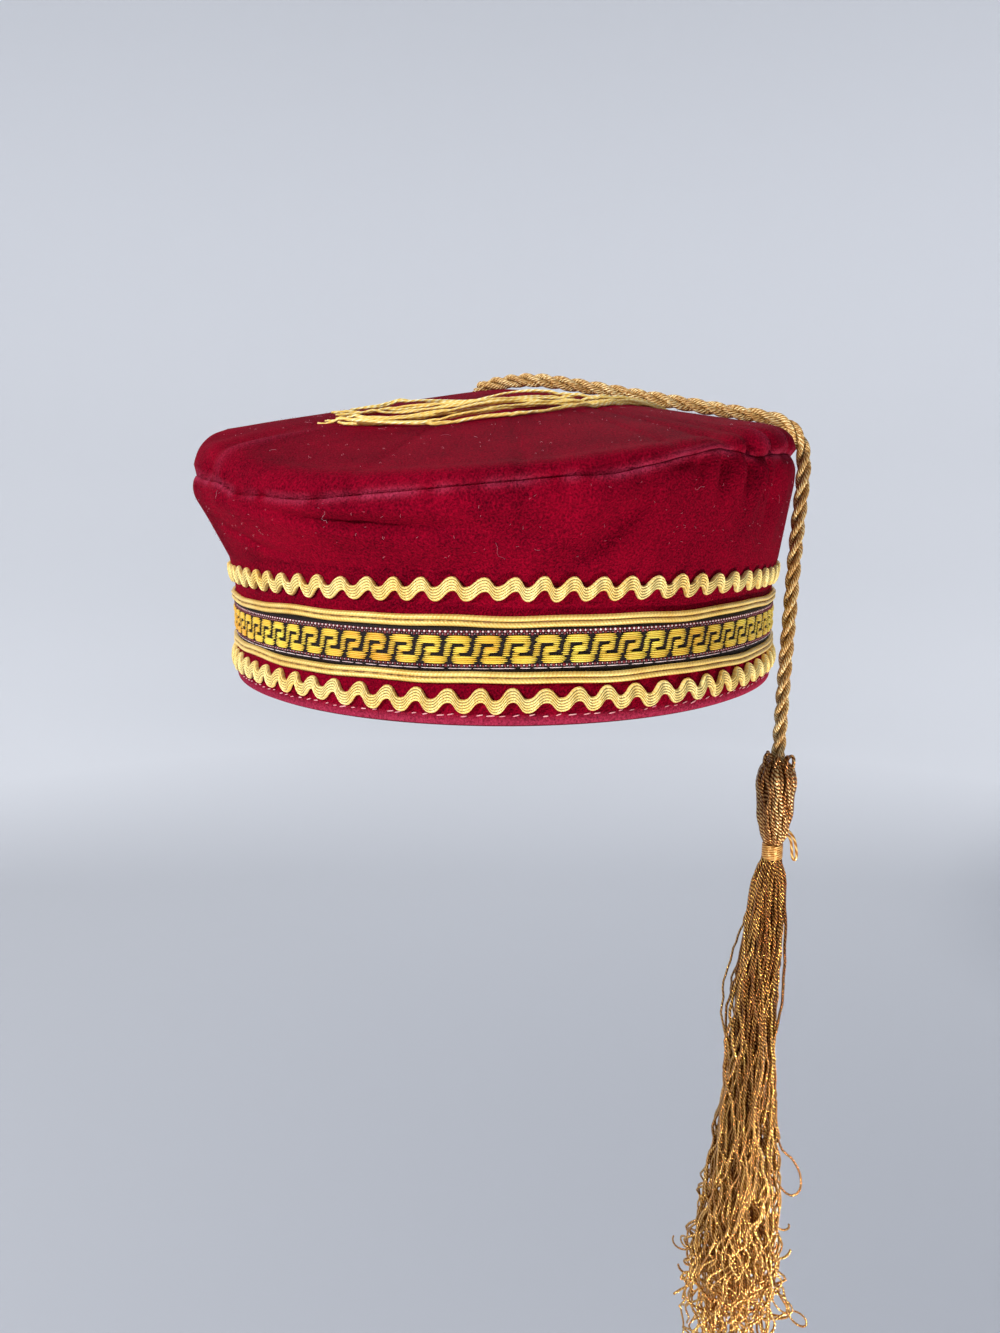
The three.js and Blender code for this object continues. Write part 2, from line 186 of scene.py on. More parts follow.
# Share of the way from the band up to the seam, and share of the flare.
PANEL_CURVE = smooth_line([(0, 0), (0.5, 0.62), (0.75, 0.95), (0.92, 1), (1, 1)], CURVE_POINTS)

# Inset from the flare in millimetres, share of the way from seam to shoulder, and lean.
SHOULDER_CURVE = smooth_line(
    [(0.3, 0, 0), (0.2, 0.25, 0.1), (1.5, 0.6, 0.35), (4.5, 0.86, 0.65), (9, 1, 0.9)],
    CURVE_POINTS,
)

# Folds: turn, spread, share of the height, its reach, climb with the turn and millimetres out.
SIDE_FOLDS = [
    (249, 14, 0.66, 0.09, -0.0105, -1.5),
    (249, 12, 0.68, 0.035, -0.0105, -1.2),
    (249, 20, 0.84, 0.10, -0.0105, 0.9),
    (249, 16, 0.46, 0.14, -0.0105, 1.1),
    (225, 10, 0.31, 0.07, -0.0175, -1.6),
    (262, 6.0, 0.30, 0.25, 0.02, 0.9),
    (279, 5.0, 0.45, 0.20, 0.07, 1.0),
    (285.5, 5.0, 0.46, 0.18, 0.07, -1.9),
    (295, 3.0, 0.97, 0.07, 0, -1.4),
    (297.5, 1.1, 0.90, 0.16, 0.02, -1.6),
    (302.3, 1.0, 0.86, 0.20, 0.03, -2.6),
    (305.5, 1.4, 0.84, 0.24, 0, 1.0),
    (308.2, 0.9, 0.86, 0.17, -0.02, -2.8),
    (311.3, 1.2, 0.80, 0.32, 0, 1.2),
    (314, 1.0, 0.86, 0.20, 0.02, -2.4),
    (318, 1.4, 0.72, 0.34, 0.02, -1.8),
    (323, 2.0, 0.60, 0.40, 0, 1.0),
    (345, 3.5, 0.95, 0.40, 0, -1.2),
]
TOP_FOLDS = [
    (205, 8.0, 1.00, 0.50, 0, -2.6),
    (209, 6.0, 0.45, 0.40, 0, -0.9),
    (217, 2.4, 0.28, 0.22, 0, -2.8),
    (219.5, 2.0, 0.90, 0.80, 0, -0.9),
    (223.5, 1.2, 1.10, 0.95, 0, 1.1),
    (229, 3.0, 0.30, 0.24, 0, -1.0),
    (284, 6.0, 0.35, 0.22, 0.02, -1.6),
    (295, 4.5, 0.22, 0.16, 0, 1.5),
    (303, 2.2, 0.60, 0.50, 0, -1.4),
    (309, 1.3, 0.40, 0.40, 0.05, -2.4),
    (312.5, 1.3, 0.50, 0.50, 0.05, 1.2),
    (316, 1.2, 0.40, 0.50, 0.05, -2.6),
    (321, 1.6, 0.50, 0.40, 0.05, 1.0),
    (326, 2.0, 0.40, 0.40, 0, -1.6),
]

# Small puckers where the seam gathers the cloth: their spread, depth and reach from the seam.
GATHER_COUNT = 130
GATHER_SPREADS = (0.6, 1.7)
GATHER_DEPTHS = (-0.9, 0.5)
GATHER_REACHES = (2.5, 8.5)


def seam_gathers():
    rng = seeded(0)
    turn = np.sort(rng.uniform(0, 360, GATHER_COUNT))
    spread = rng.uniform(*GATHER_SPREADS, GATHER_COUNT)
    depth = rng.uniform(*GATHER_DEPTHS, GATHER_COUNT) * MM
    reach = rng.uniform(*GATHER_REACHES, GATHER_COUNT) * MM
    return np.column_stack([turn, spread, depth, reach])


GATHERS = seam_gathers()


def turn_between(turn, start):
    return np.mod(turn - start + 180, 360) - 180


def fold_push(folds, turn, share):
    """How far the folds push the cloth at a turn and share of its height."""
    total = 0
    for at, spread, middle, reach, climb, depth in folds:
        away = turn_between(turn, at)
        up = (share - middle - climb * away) / reach
        total = total + depth * MM * np.exp(-(away / spread) ** 2 - up**2)
    return total


def gather_push(turn, from_seam):
    """How far the seam's puckers push the cloth."""
    total = 0
    for at, spread, depth, reach in GATHERS:
        away = turn_between(turn, at) / spread
        total = total + depth * np.exp(-away**2 - (from_seam / reach) ** 2)
    return total


def on_oval(turn, outward, height):
    angle = np.radians(turn)
    x = (RIM_HALF_WIDTH + outward) * np.cos(angle)
    y = (RIM_HALF_DEPTH + outward) * np.sin(angle)
    return np.stack(np.broadcast_arrays(x, y, height), axis=-1)


def out_of_oval(turn):
    """Directions straight out of the rim and along it."""
    angle = np.radians(turn)
    zero = np.zeros_like(angle)
    out = np.stack([np.cos(angle) / RIM_HALF_WIDTH, np.sin(angle) / RIM_HALF_DEPTH, zero], -1)
    along = np.stack([-RIM_HALF_WIDTH * np.sin(angle), RIM_HALF_DEPTH * np.cos(angle), zero], -1)
    return unit(out), unit(along)


def band_outward(height):
    return np.interp(height, BAND_CURVE[:, 0], BAND_CURVE[:, 1])


def on_band(turn, level, lift):
    """Places at a lift off the band's face."""
    return on_oval(turn, band_outward(level) + lift, level)


OVAL_TURNS = np.linspace(BACK_TURN, BACK_TURN + 360, OVAL_POINTS)
OVAL_RUN = run_along(on_oval(OVAL_TURNS, 0, 0))
RIM_LENGTH = OVAL_RUN[-1]


def turn_at(run):
    """The turn at a length round the rim, counted from the back."""
    return np.interp(np.mod(run, RIM_LENGTH), OVAL_RUN, OVAL_TURNS)


def seam_pinch(turn):
    return around(SEAM_PINCH, turn)[..., 0]


def crown_sections(turn):
    """Seam height, flare and shoulder height at a turn, with the seam's strays."""
    seam, flare, shoulder = np.moveaxis(around(CROWN_SECTIONS, turn), -1, 0)
    for at, spread, stray in SEAM_STRAYS:
        seam = seam + stray * MM * np.exp(-(turn_between(turn, at) / spread) ** 2)
    return seam, flare, shoulder


def panel_points(turn, rise, inside):
    """The soft part of the side wall, its outside or a wall's thickness inside."""
    seam, flare, _ = crown_sections(turn)
    rise = np.asarray(rise)[:, None]
    height = BAND_TOP + (seam - BAND_TOP) * rise
    share = np.interp(rise, PANEL_CURVE[:, 0], PANEL_CURVE[:, 1])
    start = band_outward(BAND_TOP)
    roll = np.clip((rise - ROLL_START) / (1 - ROLL_START), 0, None)
    settle = np.clip(rise / SETTLE_RISE, 0, 1)
    push = fold_push(SIDE_FOLDS, turn, rise) * (1 - roll**2)
    push = (push + gather_push(turn, seam - height)) * settle
    outward = start + (flare - start) * share + push - seam_pinch(turn) * roll**2
    return on_oval(turn, outward - inside * WALL, height)


def band_points(turn, heights, inside):
    heights = np.asarray(heights)[:, None]
    return on_band(turn, heights + 0 * turn, -inside * WALL)


def tucked(row, depth):
    """A row of points drawn in towards the cap's axis, into the seam."""
    return row * (1 - depth / np.linalg.norm(row[:, :2], axis=1, keepdims=True) * [1, 1, 0])


def shoulder_points(turn, shares, inside):
    """The rounded edge of the crown top, from the seam up to the shoulder."""
    seam, flare, shoulder = crown_sections(turn)
    inset, rise, lean = down_table(SHOULDER_CURVE, np.asarray(shares)[:, None])
    height = seam + (shoulder - seam) * rise
    fade = np.clip(rise / FADE_RISE, 0, 1)
    push = fold_push(TOP_FOLDS, turn, rise) * fade + gather_push(turn, height - seam)
    push = push - seam_pinch(turn) * np.clip(1 - rise / PINCH_RISE, 0, 1) ** 2
    push = push - inside * WALL
    return on_oval(turn, flare - inset * MM + push * (1 - lean), height + push * lean)


def dome_drop(share):
    """The crown's fall from its apex, 0, to its shoulder, 1."""
    ease = math.hypot(1, APEX_EASE) - APEX_EASE
    return (np.hypot(share, APEX_EASE) - APEX_EASE) / ease


def dome_points(turn, shares, inside):
    """The crown top from its shoulder in towards the apex."""
    edge = shoulder_points(turn, [1.0], 0)[0]
    shares = np.asarray(shares)[:, None]
    place = edge[None, :, :] * shares[..., None]
    place[..., 2] = APEX_HEIGHT - (APEX_HEIGHT - edge[:, 2]) * dome_drop(shares) - inside * WALL
    edge_push = fold_push(TOP_FOLDS, turn, 1.0)
    further = fold_push(TOP_FOLDS, turn, 1 + CROWN_REACH * (1 - shares))
    place[..., 2] += LAST_LEAN * (further - edge_push * dome_drop(shares))
    return place


def top_height(x, y):
    """The height of the crown top over a place on it."""
    turn = np.degrees(np.arctan2(y / RIM_HALF_DEPTH, x / RIM_HALF_WIDTH))
    edge = shoulder_points(turn, [1.0], 0)[0]
    share = np.hypot(x, y) / np.hypot(edge[:, 0], edge[:, 1])
    return APEX_HEIGHT - (APEX_HEIGHT - edge[:, 2]) * dome_drop(share)


# Meshes

def ring_faces(rows, columns, closed):
    """Quads between rows of points that run all the way round; closed joins last row to first."""
    row, column = np.meshgrid(
        np.arange(rows if closed else rows - 1), np.arange(columns), indexing="ij"
    )
    after = (row + 1) % rows
    beside = (column + 1) % columns
    corners = (
        row * columns + column, row * columns + beside,
        after * columns + beside, after * columns + column,
    )
    return np.stack(corners, axis=-1).reshape(-1, 4)


def link_mesh(name, points, faces, edges=()):
    mesh = bpy.data.meshes.new(name)
    points = np.asarray(points).reshape(-1, 3)
    mesh.from_pydata(points.tolist(), list(edges), [list(face) for face in faces])
    mesh.shade_smooth()
    piece = bpy.data.objects.new(name, mesh)
    bpy.context.scene.collection.objects.link(piece)
    return piece


def store(piece, name, values):
    """Keeps a number or a vector for each corner point of a piece."""
    values = np.asarray(values, float)
    kind, field = ("FLOAT", "value") if values.ndim == 1 else ("FLOAT_VECTOR", "vector")
    piece.data.attributes.new(name, kind, "POINT").data.foreach_set(field, values.ravel())


def dress(piece, slot, *nodes):
    """Ties a finished piece to the cap and hides the solids that it stands for; slot is not used.
    """
    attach(piece, "root")
    if nodes:
        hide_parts(*nodes)


# Node trees for what repeats or follows a path

def wire(tree, kind, inputs=None, output=0, **settings):
    """Adds a node, its inputs set to values or joined to other outputs, and gives an output."""
    node = tree.nodes.new(kind)
    for name, value in settings.items():
        setattr(node, name, value)
    for name, value in (inputs or {}).items():
        if isinstance(value, bpy.types.NodeSocket):
            tree.links.new(value, node.inputs[name])
        else:
            node.inputs[name].default_value = value
    return node.outputs[output]


def new_tree(name, kind, inputs, outputs):
    """An empty node group, the values that it is given and the sockets that it fills."""
    tree = bpy.data.node_groups.new(name, kind)
    for way, sockets in (("INPUT", inputs), ("OUTPUT", outputs)):
        for label, socket in sockets:
            tree.interface.new_socket(label, in_out=way, socket_type="NodeSocket" + socket)
    given = tree.nodes.new("NodeGroupInput").outputs
    return tree, given, tree.nodes.new("NodeGroupOutput").inputs


def calc(tree, operation, *values):
    return wire(tree, "ShaderNodeMath", dict(enumerate(values)), operation=operation)


def kept(tree, name, kind):
    """What each guide point keeps under a name."""
    inputs = {"Name": name}
    return wire(tree, "GeometryNodeInputNamedAttribute", inputs, "Attribute", data_type=kind)


def keep(tree, geometry, name, value, kind, domain="POINT"):
    """The geometry with a value kept under a name on each point or copy."""
    return wire(
        tree, "GeometryNodeStoreNamedAttribute",
        {"Geometry": geometry, "Name": name, "Value": value}, data_type=kind, domain=domain,
    )


def random_between(tree, least, most, seed):
    inputs = {2: least, 3: most, "Seed": seed}
    return wire(tree, "FunctionNodeRandomValue", inputs, 1, data_type="FLOAT")


def end_tree(tree, geometry, material, out):
    """Ends a tree in plain geometry with its finish."""
    real = wire(tree, "GeometryNodeRealizeInstances", {"Geometry": geometry})
    done = wire(tree, "GeometryNodeSetMaterial", {"Geometry": real, "Material": material})
    tree.links.new(done, out)
    return tree


def yarn_sweep_tree():
    """Lines of points swept into round yarns that remember their length and their way round."""
    tree, given, out = new_tree(
        "yarn_sweep", "GeometryNodeTree",
        [("Lines", "Geometry"), ("Yarn Radius", "Float"), ("Sides", "Int"),
         ("Material", "Material")],
        [("Yarns", "Geometry")],
    )
    line = wire(tree, "GeometryNodeMeshToCurve", {"Mesh": given["Lines"]})
    length = wire(tree, "GeometryNodeSplineParameter", None, "Length")
    circle = wire(
        tree, "GeometryNodeCurvePrimitiveCircle",
        {"Resolution": given["Sides"], "Radius": given["Yarn Radius"]},
    )
    place = wire(tree, "GeometryNodeInputPosition")
    way = wire(tree, "ShaderNodeVectorMath", {0: place}, operation="NORMALIZE")
    swept = wire(
        tree, "GeometryNodeCurveToMesh",
        {"Curve": keep(tree, line, "run", length, "FLOAT"),
         "Profile Curve": keep(tree, circle, "ring", way, "FLOAT_VECTOR"),
         "Scale": kept(tree, "thick", "FLOAT"), "Fill Caps": True},
    )
    soft = wire(tree, "GeometryNodeSetShadeSmooth", {"Geometry": swept})
    return end_tree(tree, soft, given["Material"], out["Yarns"])


def sewn_repeat_tree():
    """One small motif sewn down at every guide point, each a little different in size."""
    tree, given, out = new_tree(
        "sewn_repeat", "GeometryNodeTree",
        [("Guide", "Geometry"), ("Motif", "Object"), ("Size Jitter", "Float"), ("Seed", "Int"),
         ("Material", "Material")],
        [("Sewn", "Geometry")],
    )
    motif = wire(tree, "GeometryNodeObjectInfo", {"Object": given["Motif"]}, "Geometry")
    facing = wire(
        tree, "FunctionNodeAxesToRotation",
        {"Primary Axis": kept(tree, "out", "FLOAT_VECTOR"),
         "Secondary Axis": kept(tree, "along", "FLOAT_VECTOR")},
        primary_axis="Z", secondary_axis="X",
    )
    least = calc(tree, "SUBTRACT", 1.0, given["Size Jitter"])
    most = calc(tree, "ADD", 1.0, given["Size Jitter"])
    jitter = random_between(tree, least, most, given["Seed"])
    size = wire(
        tree, "ShaderNodeVectorMath",
        {0: kept(tree, "size", "FLOAT_VECTOR"), "Scale": jitter}, operation="SCALE",
    )
    sewn = wire(
        tree, "GeometryNodeInstanceOnPoints",
        {"Points": given["Guide"], "Instance": motif, "Rotation": facing, "Scale": size},
    )
    lot = random_between(tree, 0.0, 1.0, given["Seed"])
    tinted = keep(tree, sewn, "lot", lot, "FLOAT", "INSTANCE")
    return end_tree(tree, tinted, given["Material"], out["Sewn"])


YARN_SWEEP = yarn_sweep_tree()
SEWN_REPEAT = sewn_repeat_tree()


def run_tree(piece, tree, values):
    """Runs a node tree on a piece with the values given and keeps the plain mesh that it makes."""
    modifier = piece.modifiers.new(tree.name, "NODES")
    modifier.node_group = tree
    for socket in tree.interface.items_tree:
        if socket.in_out == "INPUT" and socket.name in values:
            modifier[socket.identifier] = values[socket.name]
    graph = bpy.context.evaluated_depsgraph_get()
    made = bpy.data.meshes.new_from_object(piece.evaluated_get(graph))
    guide = piece.data
    piece.modifiers.clear()
    piece.data = made
    made.name = piece.name
    bpy.data.meshes.remove(guide)
    return piece


def for_points(lines, values):
    """Each line's value, or its row of values, for all its points."""
    return np.concatenate([np.broadcast_to(value, len(a)) for a, value in zip(lines, values)])


def sweep_yarns(name, lines, radius, sides, material, thick=None):
    """Yarns of one radius along lines of points; thick scales it for or along each line."""
    edges = []
    start = 0
    for line in lines:
        order = np.arange(start, start + len(line))
        edges.extend(np.column_stack([order[:-1], order[1:]]).tolist())
        start += len(line)
    piece = link_mesh(name, np.vstack(lines), [], edges)
    count = len(lines)
    store(piece, "thick", for_points(lines, thick or np.ones(count)))
    store(piece, "lot", for_points(lines, seeded(count).uniform(0, 1, count)))
    values = {"Yarn Radius": radius, "Sides": sides, "Material": material}
    return run_tree(piece, YARN_SWEEP, values)


def sew(name, motif, places, out, along, size, material, jitter):
    """Copies of a motif at places, facing out and lying along, at the sizes given."""
    piece = link_mesh(name, places, [])
    for label, values in (("out", out), ("along", along), ("size", size)):
        store(piece, label, np.broadcast_to(values, places.shape))
    values = {"Motif": motif, "Size Jitter": jitter, "Seed": SEED, "Material": material}
    return run_tree(piece, SEWN_REPEAT, values)


def spindle(name, rings, sides, fullness):
    """A closed spindle from -1 to 1 along X, round across, fuller for a smaller power."""
    along = np.sin(np.linspace(-1, 1, rings + 2)[1:-1] * math.pi / 2)
    angle = np.linspace(0, FULL_TURN, sides, endpoint=False)
    radius = (1 - along**2) ** fullness
    ring = np.stack([
        np.repeat(along[:, None], sides, 1),
        radius[:, None] * np.cos(angle),
        radius[:, None] * np.sin(angle),
    ], axis=-1).reshape(-1, 3)
    points = np.vstack([ring, [(-1, 0, 0), (1, 0, 0)]])
    first, last = len(ring), len(ring) + 1
    faces = [list(quad) for quad in ring_faces(rings, sides, False)]
    top = (rings - 1) * sides
    for k in range(sides):
        after = (k + 1) % sides
        faces.append([first, after, k])
        faces.append([top + k, top + after, last])
    return link_mesh(name, points, [face[::-1] for face in faces])


# Effects that several finishes share

# How far the twist of one yarn starts from another's, and how narrow its grooves, painted dark as
# shade, and the painted glints on its crests are.
LOT_SHIFT = 40.0
GROOVE_POWER = 0.5
GLINT_POWER = 3.0
# Scale, result, detail and roughness of the two noises, and the stretch of them that is used.
MOTTLE_NOISES = [("Patch Scale", "Patches", 3.0, 0.55), ("Speck Scale", "Specks", 2.0, 0.6)]
NOISE_SPAN = (0.3, 0.7)
# Fullness of a braid's ribs, height of its threads on them, and the edges that have no painted
# groove shade.
RIB_POWER = 0.7
THREAD_HEIGHT = 0.35
EDGE_SPAN = (0.04, 0.16)


def colour(shade):
    """A colour read off a screen, as light, by the usual curve of screens."""
    share = np.array(shade) / 255
    light = np.where(share <= 0.04045, share / 12.92, ((share + 0.055) / 1.055) ** 2.4)
    return (*light.tolist(), 1.0)


def blend(tree, share, first, second):
    inputs = {"Factor": share, 6: first, 7: second}
    return wire(tree, "ShaderNodeMix", inputs, 2, data_type="RGBA")


def span(tree, value, low, high):
    """How far a value is from low to high, from 0 to 1."""
    return wire(tree, "ShaderNodeMapRange", {"Value": value, 1: low, 2: high})


def reading(tree, name, output="Fac"):
    """What a piece keeps under a name at each of its points."""
    return wire(tree, "ShaderNodeAttribute", None, output, attribute_name=name)


def two_parts(tree, vector):
    node = wire(tree, "ShaderNodeSeparateXYZ", {0: vector}).node
    return node.outputs["X"], node.outputs["Y"]


def own_place(tree):
    return wire(tree, "ShaderNodeTexCoord", None, "Object")


def from_zero(tree, value):
    """A value between -1 and 1, brought between 0 and 1."""
    return calc(tree, "MULTIPLY_ADD", value, 0.5, 0.5)


def yarn_twist_group():
    """The ridges of a twisted yarn, from its own length and way round, and where a painted glint
    sits on their crests.
    """
    tree, given, out = new_tree(
        "yarn_twist", "ShaderNodeTree", [("Plies", "Float"), ("Lay", "Float")],
        [("Height", "Float"), ("Crest", "Float")],
    )
    x, y = two_parts(tree, reading(tree, "ring", "Vector"))
    turns = calc(tree, "DIVIDE", reading(tree, "run"), given["Lay"])
    spin = calc(tree, "MULTIPLY", turns, FULL_TURN)
    angle = calc(tree, "ADD", calc(tree, "ARCTAN2", y, x), spin)
    turned = calc(tree, "MULTIPLY_ADD", reading(tree, "lot"), LOT_SHIFT, angle)
    phase = calc(tree, "MULTIPLY", turned, given["Plies"])
    wave = from_zero(tree, calc(tree, "COSINE", phase))
    tree.links.new(calc(tree, "POWER", wave, GROOVE_POWER), out["Height"])
    tree.links.new(calc(tree, "POWER", wave, GLINT_POWER), out["Crest"])
    return tree


def fibre_mottle_group():
    """Uneven dye and loose fibres: slow patches and fine specks over the surface."""
    tree, given, out = new_tree(
        "fibre_mottle", "ShaderNodeTree", [("Patch Scale", "Float"), ("Speck Scale", "Float")],
        [("Patches", "Float"), ("Specks", "Float")],
    )
    place = own_place(tree)
    for scale, result, detail, rough in MOTTLE_NOISES:
        inputs = {"Vector": place, "Scale": given[scale], "Detail": detail, "Roughness": rough}
        noise = wire(tree, "ShaderNodeTexNoise", inputs, "Fac")
        tree.links.new(span(tree, noise, *NOISE_SPAN), out[result])
    return tree


def braid_ridge_group():
    """Raised ribs along a braid, the slanting threads on them and the painted shade between the
    ribs, from its run and its width.
    """
    tree, given, out = new_tree(
        "braid_ridge", "ShaderNodeTree",
        [("Ribs", "Float"), ("Thread", "Float"), ("Slant", "Float")],
        [("Height", "Float"), ("Groove", "Float"), ("Thread", "Float")],
    )
    run, across = two_parts(tree, reading(tree, "weave", "Vector"))
    ribs = calc(tree, "MULTIPLY", from_zero(tree, across), given["Ribs"])
    rib = calc(tree, "ABSOLUTE", calc(tree, "SINE", calc(tree, "MULTIPLY", ribs, math.pi)))
    lift = calc(tree, "POWER", rib, RIB_POWER)
    slant = calc(tree, "MULTIPLY", calc(tree, "PINGPONG", ribs, 1.0), given["Slant"])
    along = calc(tree, "DIVIDE", run, given["Thread"])
    phase = calc(tree, "MULTIPLY", calc(tree, "ADD", along, slant), FULL_TURN)
    thread = from_zero(tree, calc(tree, "SINE", phase))
    height = calc(tree, "MULTIPLY_ADD", thread, THREAD_HEIGHT, lift)
    from_edge = calc(tree, "SUBTRACT", 1.0, calc(tree, "ABSOLUTE", across))
    inner = span(tree, from_edge, *EDGE_SPAN)
    # Painted shade between the ribs, none at the edges.
    groove = calc(tree, "MULTIPLY", calc(tree, "SUBTRACT", 1.0, lift), inner)
    for label, value in (("Height", height), ("Groove", groove), ("Thread", thread)):
        tree.links.new(value, out[label])
    return tree


YARN_TWIST = yarn_twist_group()
FIBRE_MOTTLE = fibre_mottle_group()
BRAID_RIDGE = braid_ridge_group()


# Finishes

PLIES = 2.0
STREAK_SCALE = (420, 420, 70)


def new_material(name, **sockets):
    """A material whose plain numbers sit on its shader's own sockets."""
    material = bpy.data.materials.new(name)
    material.use_nodes = True
    tree = material.node_tree
    shader = tree.nodes["Principled BSDF"]
    for label, value in sockets.items():
        shader.inputs[label.replace("_", " ")].default_value = value
    return material, tree, shader


def place_group(tree, group, **values):
    node = tree.nodes.new("ShaderNodeGroup")
    node.node_tree = group
    for label, value in values.items():
        node.inputs[label.replace("_", " ")].default_value = value
    return node.outputs


def mottled(tree, patch_scale, speck_scale):
    """The patches and the specks of uneven dye, at their scales."""
    mottle = place_group(tree, FIBRE_MOTTLE, Patch_Scale=patch_scale, Speck_Scale=speck_scale)
    return mottle["Patches"], mottle["Specks"]


def weighted(tree, *parts):
    """A sum of outputs, each with its weight."""
    (first, weight), *rest = parts
    total = calc(tree, "MULTIPLY", first, weight)
    for value, weight in rest:
        total = calc(tree, "MULTIPLY_ADD", value, weight, total)
    return total


def surface(tree, shader, body, height, depth, strength):
    """Gives a shader its varied colour and the relief of its threads."""
    tree.links.new(body, shader.inputs["Base Color"])
    inputs = {"Height": height, "Distance": depth, "Strength": strength}
    tree.links.new(wire(tree, "ShaderNodeBump", inputs), shader.inputs["Normal"])


def velvet_material(name, dark, bright, sheen_rose, tint):
    """Cut pile: slow patches, brushed streaks and fine specks, with a rosy painted sheen along the
    seam, on fold ridges and at the hem, where the pile also lies the other way.
    """
    material, tree, shader = new_material(
        name, Roughness=0.85, Sheen_Weight=0.02, Sheen_Roughness=0.4, Sheen_Tint=colour(tint),
        Specular_IOR_Level=0.02,
    )
    patches, specks = mottled(tree, patch_scale=60.0, speck_scale=2000.0)
    brushed = wire(tree, "ShaderNodeMapping", {"Vector": own_place(tree), "Scale": STREAK_SCALE})
    noise = {"Vector": brushed, "Scale": 1.0, "Detail": 2.0}
    streak = wire(tree, "ShaderNodeTexNoise", noise, "Fac")
    shade = weighted(tree, (patches, 0.28), (specks, 0.75), (streak, 0.1))
    # How much painted rosy sheen, which at the hem also stands for the pile lying the other way.
    uneven = calc(tree, "MULTIPLY_ADD", specks, 0.7, 0.3)
    sheen_share = calc(tree, "MULTIPLY", reading(tree, "nap"), uneven)
    pile = blend(tree, shade, colour(dark), colour(bright))
    body = blend(tree, sheen_share, pile, colour(sheen_rose))
    surface(tree, shader, body, specks, depth=0.4 * MM, strength=0.7)
    return material


def yarn_material(name, dark, middle, bright, lay, rough, lustre, depth, ends=None):
    """A twisted lustrous yarn: painted shade in its grooves and painted glints on its crests, each
    yarn of a slightly different lot.
    ends is a paler colour between two lengths along it, darker above and paler towards the tips:
    painted shade on the upper skirt and painted light on the lower."""
    material, tree, shader = new_material(name, Roughness=rough, Metallic=lustre)
    dark, middle, bright = colour(dark), colour(middle), colour(bright)
    twist = place_group(tree, YARN_TWIST, Plies=PLIES, Lay=lay)
    patches, specks = mottled(tree, patch_scale=180.0, speck_scale=2600.0)
    lot = reading(tree, "lot")
    share = calc(tree, "MULTIPLY_ADD", patches, 0.3, calc(tree, "POWER", lot, 1.6))
    # Painted glint on the crests, strong on some yarns and weak on others.
    painted_glint = calc(tree, "MULTIPLY", twist["Crest"], calc(tree, "MINIMUM", share, 1.0))
    if ends:
        # Painted shade near the top and painted light towards the tips.
        paler, start, end = ends
        painted_tip_light = span(tree, reading(tree, "run"), start, end)
        dark = blend(tree, painted_tip_light, dark, middle)
        middle = blend(tree, painted_tip_light, middle, colour(paler))
    # Painted shade in the grooves, with each yarn's own lot of tone.
    groove_shade_and_lot = calc(tree, "MULTIPLY", twist["Height"], calc(tree, "MULTIPLY_ADD", lot, 0.5, 0.5))
    body = blend(tree, painted_glint, blend(tree, groove_shade_and_lot, dark, middle), bright)
    height = calc(tree, "MULTIPLY_ADD", specks, 0.3, twist["Height"])
    surface(tree, shader, body, height, depth, strength=0.8)
    return material


def braid_material(name, dark, middle, bright, ribs, thread, slant):
    """A lustrous flat braid: painted brown shade between its ribs, left pale along its edges."""
    material, tree, shader = new_material(name, Roughness=0.42, Metallic=0.15)
    ridge = place_group(tree, BRAID_RIDGE, Ribs=ribs, Thread=thread, Slant=slant)
    patches, specks = mottled(tree, patch_scale=120.0, speck_scale=2400.0)
    share = weighted(tree, (patches, 0.6), (ridge["Thread"], 0.4))
    pale = blend(tree, share, colour(middle), colour(bright))
    # Painted shade between the ribs.
    body = blend(tree, weighted(tree, (ridge["Groove"], 0.9)), pale, colour(dark))
    height = calc(tree, "MULTIPLY_ADD", specks, 0.25, ridge["Height"])
    surface(tree, shader, body, height, depth=0.2 * MM, strength=0.7)
    return material


def floss_material(name, dark, bright):
    """A flat thread of shiny floss that varies from stitch to stitch."""
    dark, bright = colour(dark), colour(bright)
    material, tree, shader = new_material(
        name, Roughness=0.4, Sheen_Weight=0.2, Sheen_Roughness=0.4, Sheen_Tint=bright
    )
    patches, specks = mottled(tree, patch_scale=40.0, speck_scale=3000.0)
    share = weighted(tree, (reading(tree, "lot"), 0.3), (patches, 0.7))
    body = blend(tree, share, dark, bright)
    surface(tree, shader, body, specks, depth=0.1 * MM, strength=0.5)
    return material


def ribbon_material(name, dark, bright):
    """The ribbon's black ground, ribbed by its fine cross threads."""
    material, tree, shader = new_material(name, Roughness=0.7, Specular_IOR_Level=0.2)
    ridge = place_group(tree, BRAID_RIDGE, Ribs=20.0, Thread=0.55 * MM, Slant=0.0)
    _, specks = mottled(tree, patch_scale=90.0, speck_scale=2600.0)
    share = weighted(tree, (ridge["Thread"], 0.5), (specks, 0.5))
    body = blend(tree, share, colour(dark), colour(bright))
    surface(tree, shader, body, ridge["Height"], depth=0.12 * MM, strength=0.6)
    return material


# A velvet's third colour is its painted rosy sheen.
VELVET = velvet_material("velvet_pile", (44, 0, 12), (150, 4, 36), (176, 58, 88), (190, 20, 50))
VELVET_BACK = velvet_material(
    "velvet_back", (66, 10, 20), (92, 20, 32), (92, 20, 32), (120, 60, 70)
)
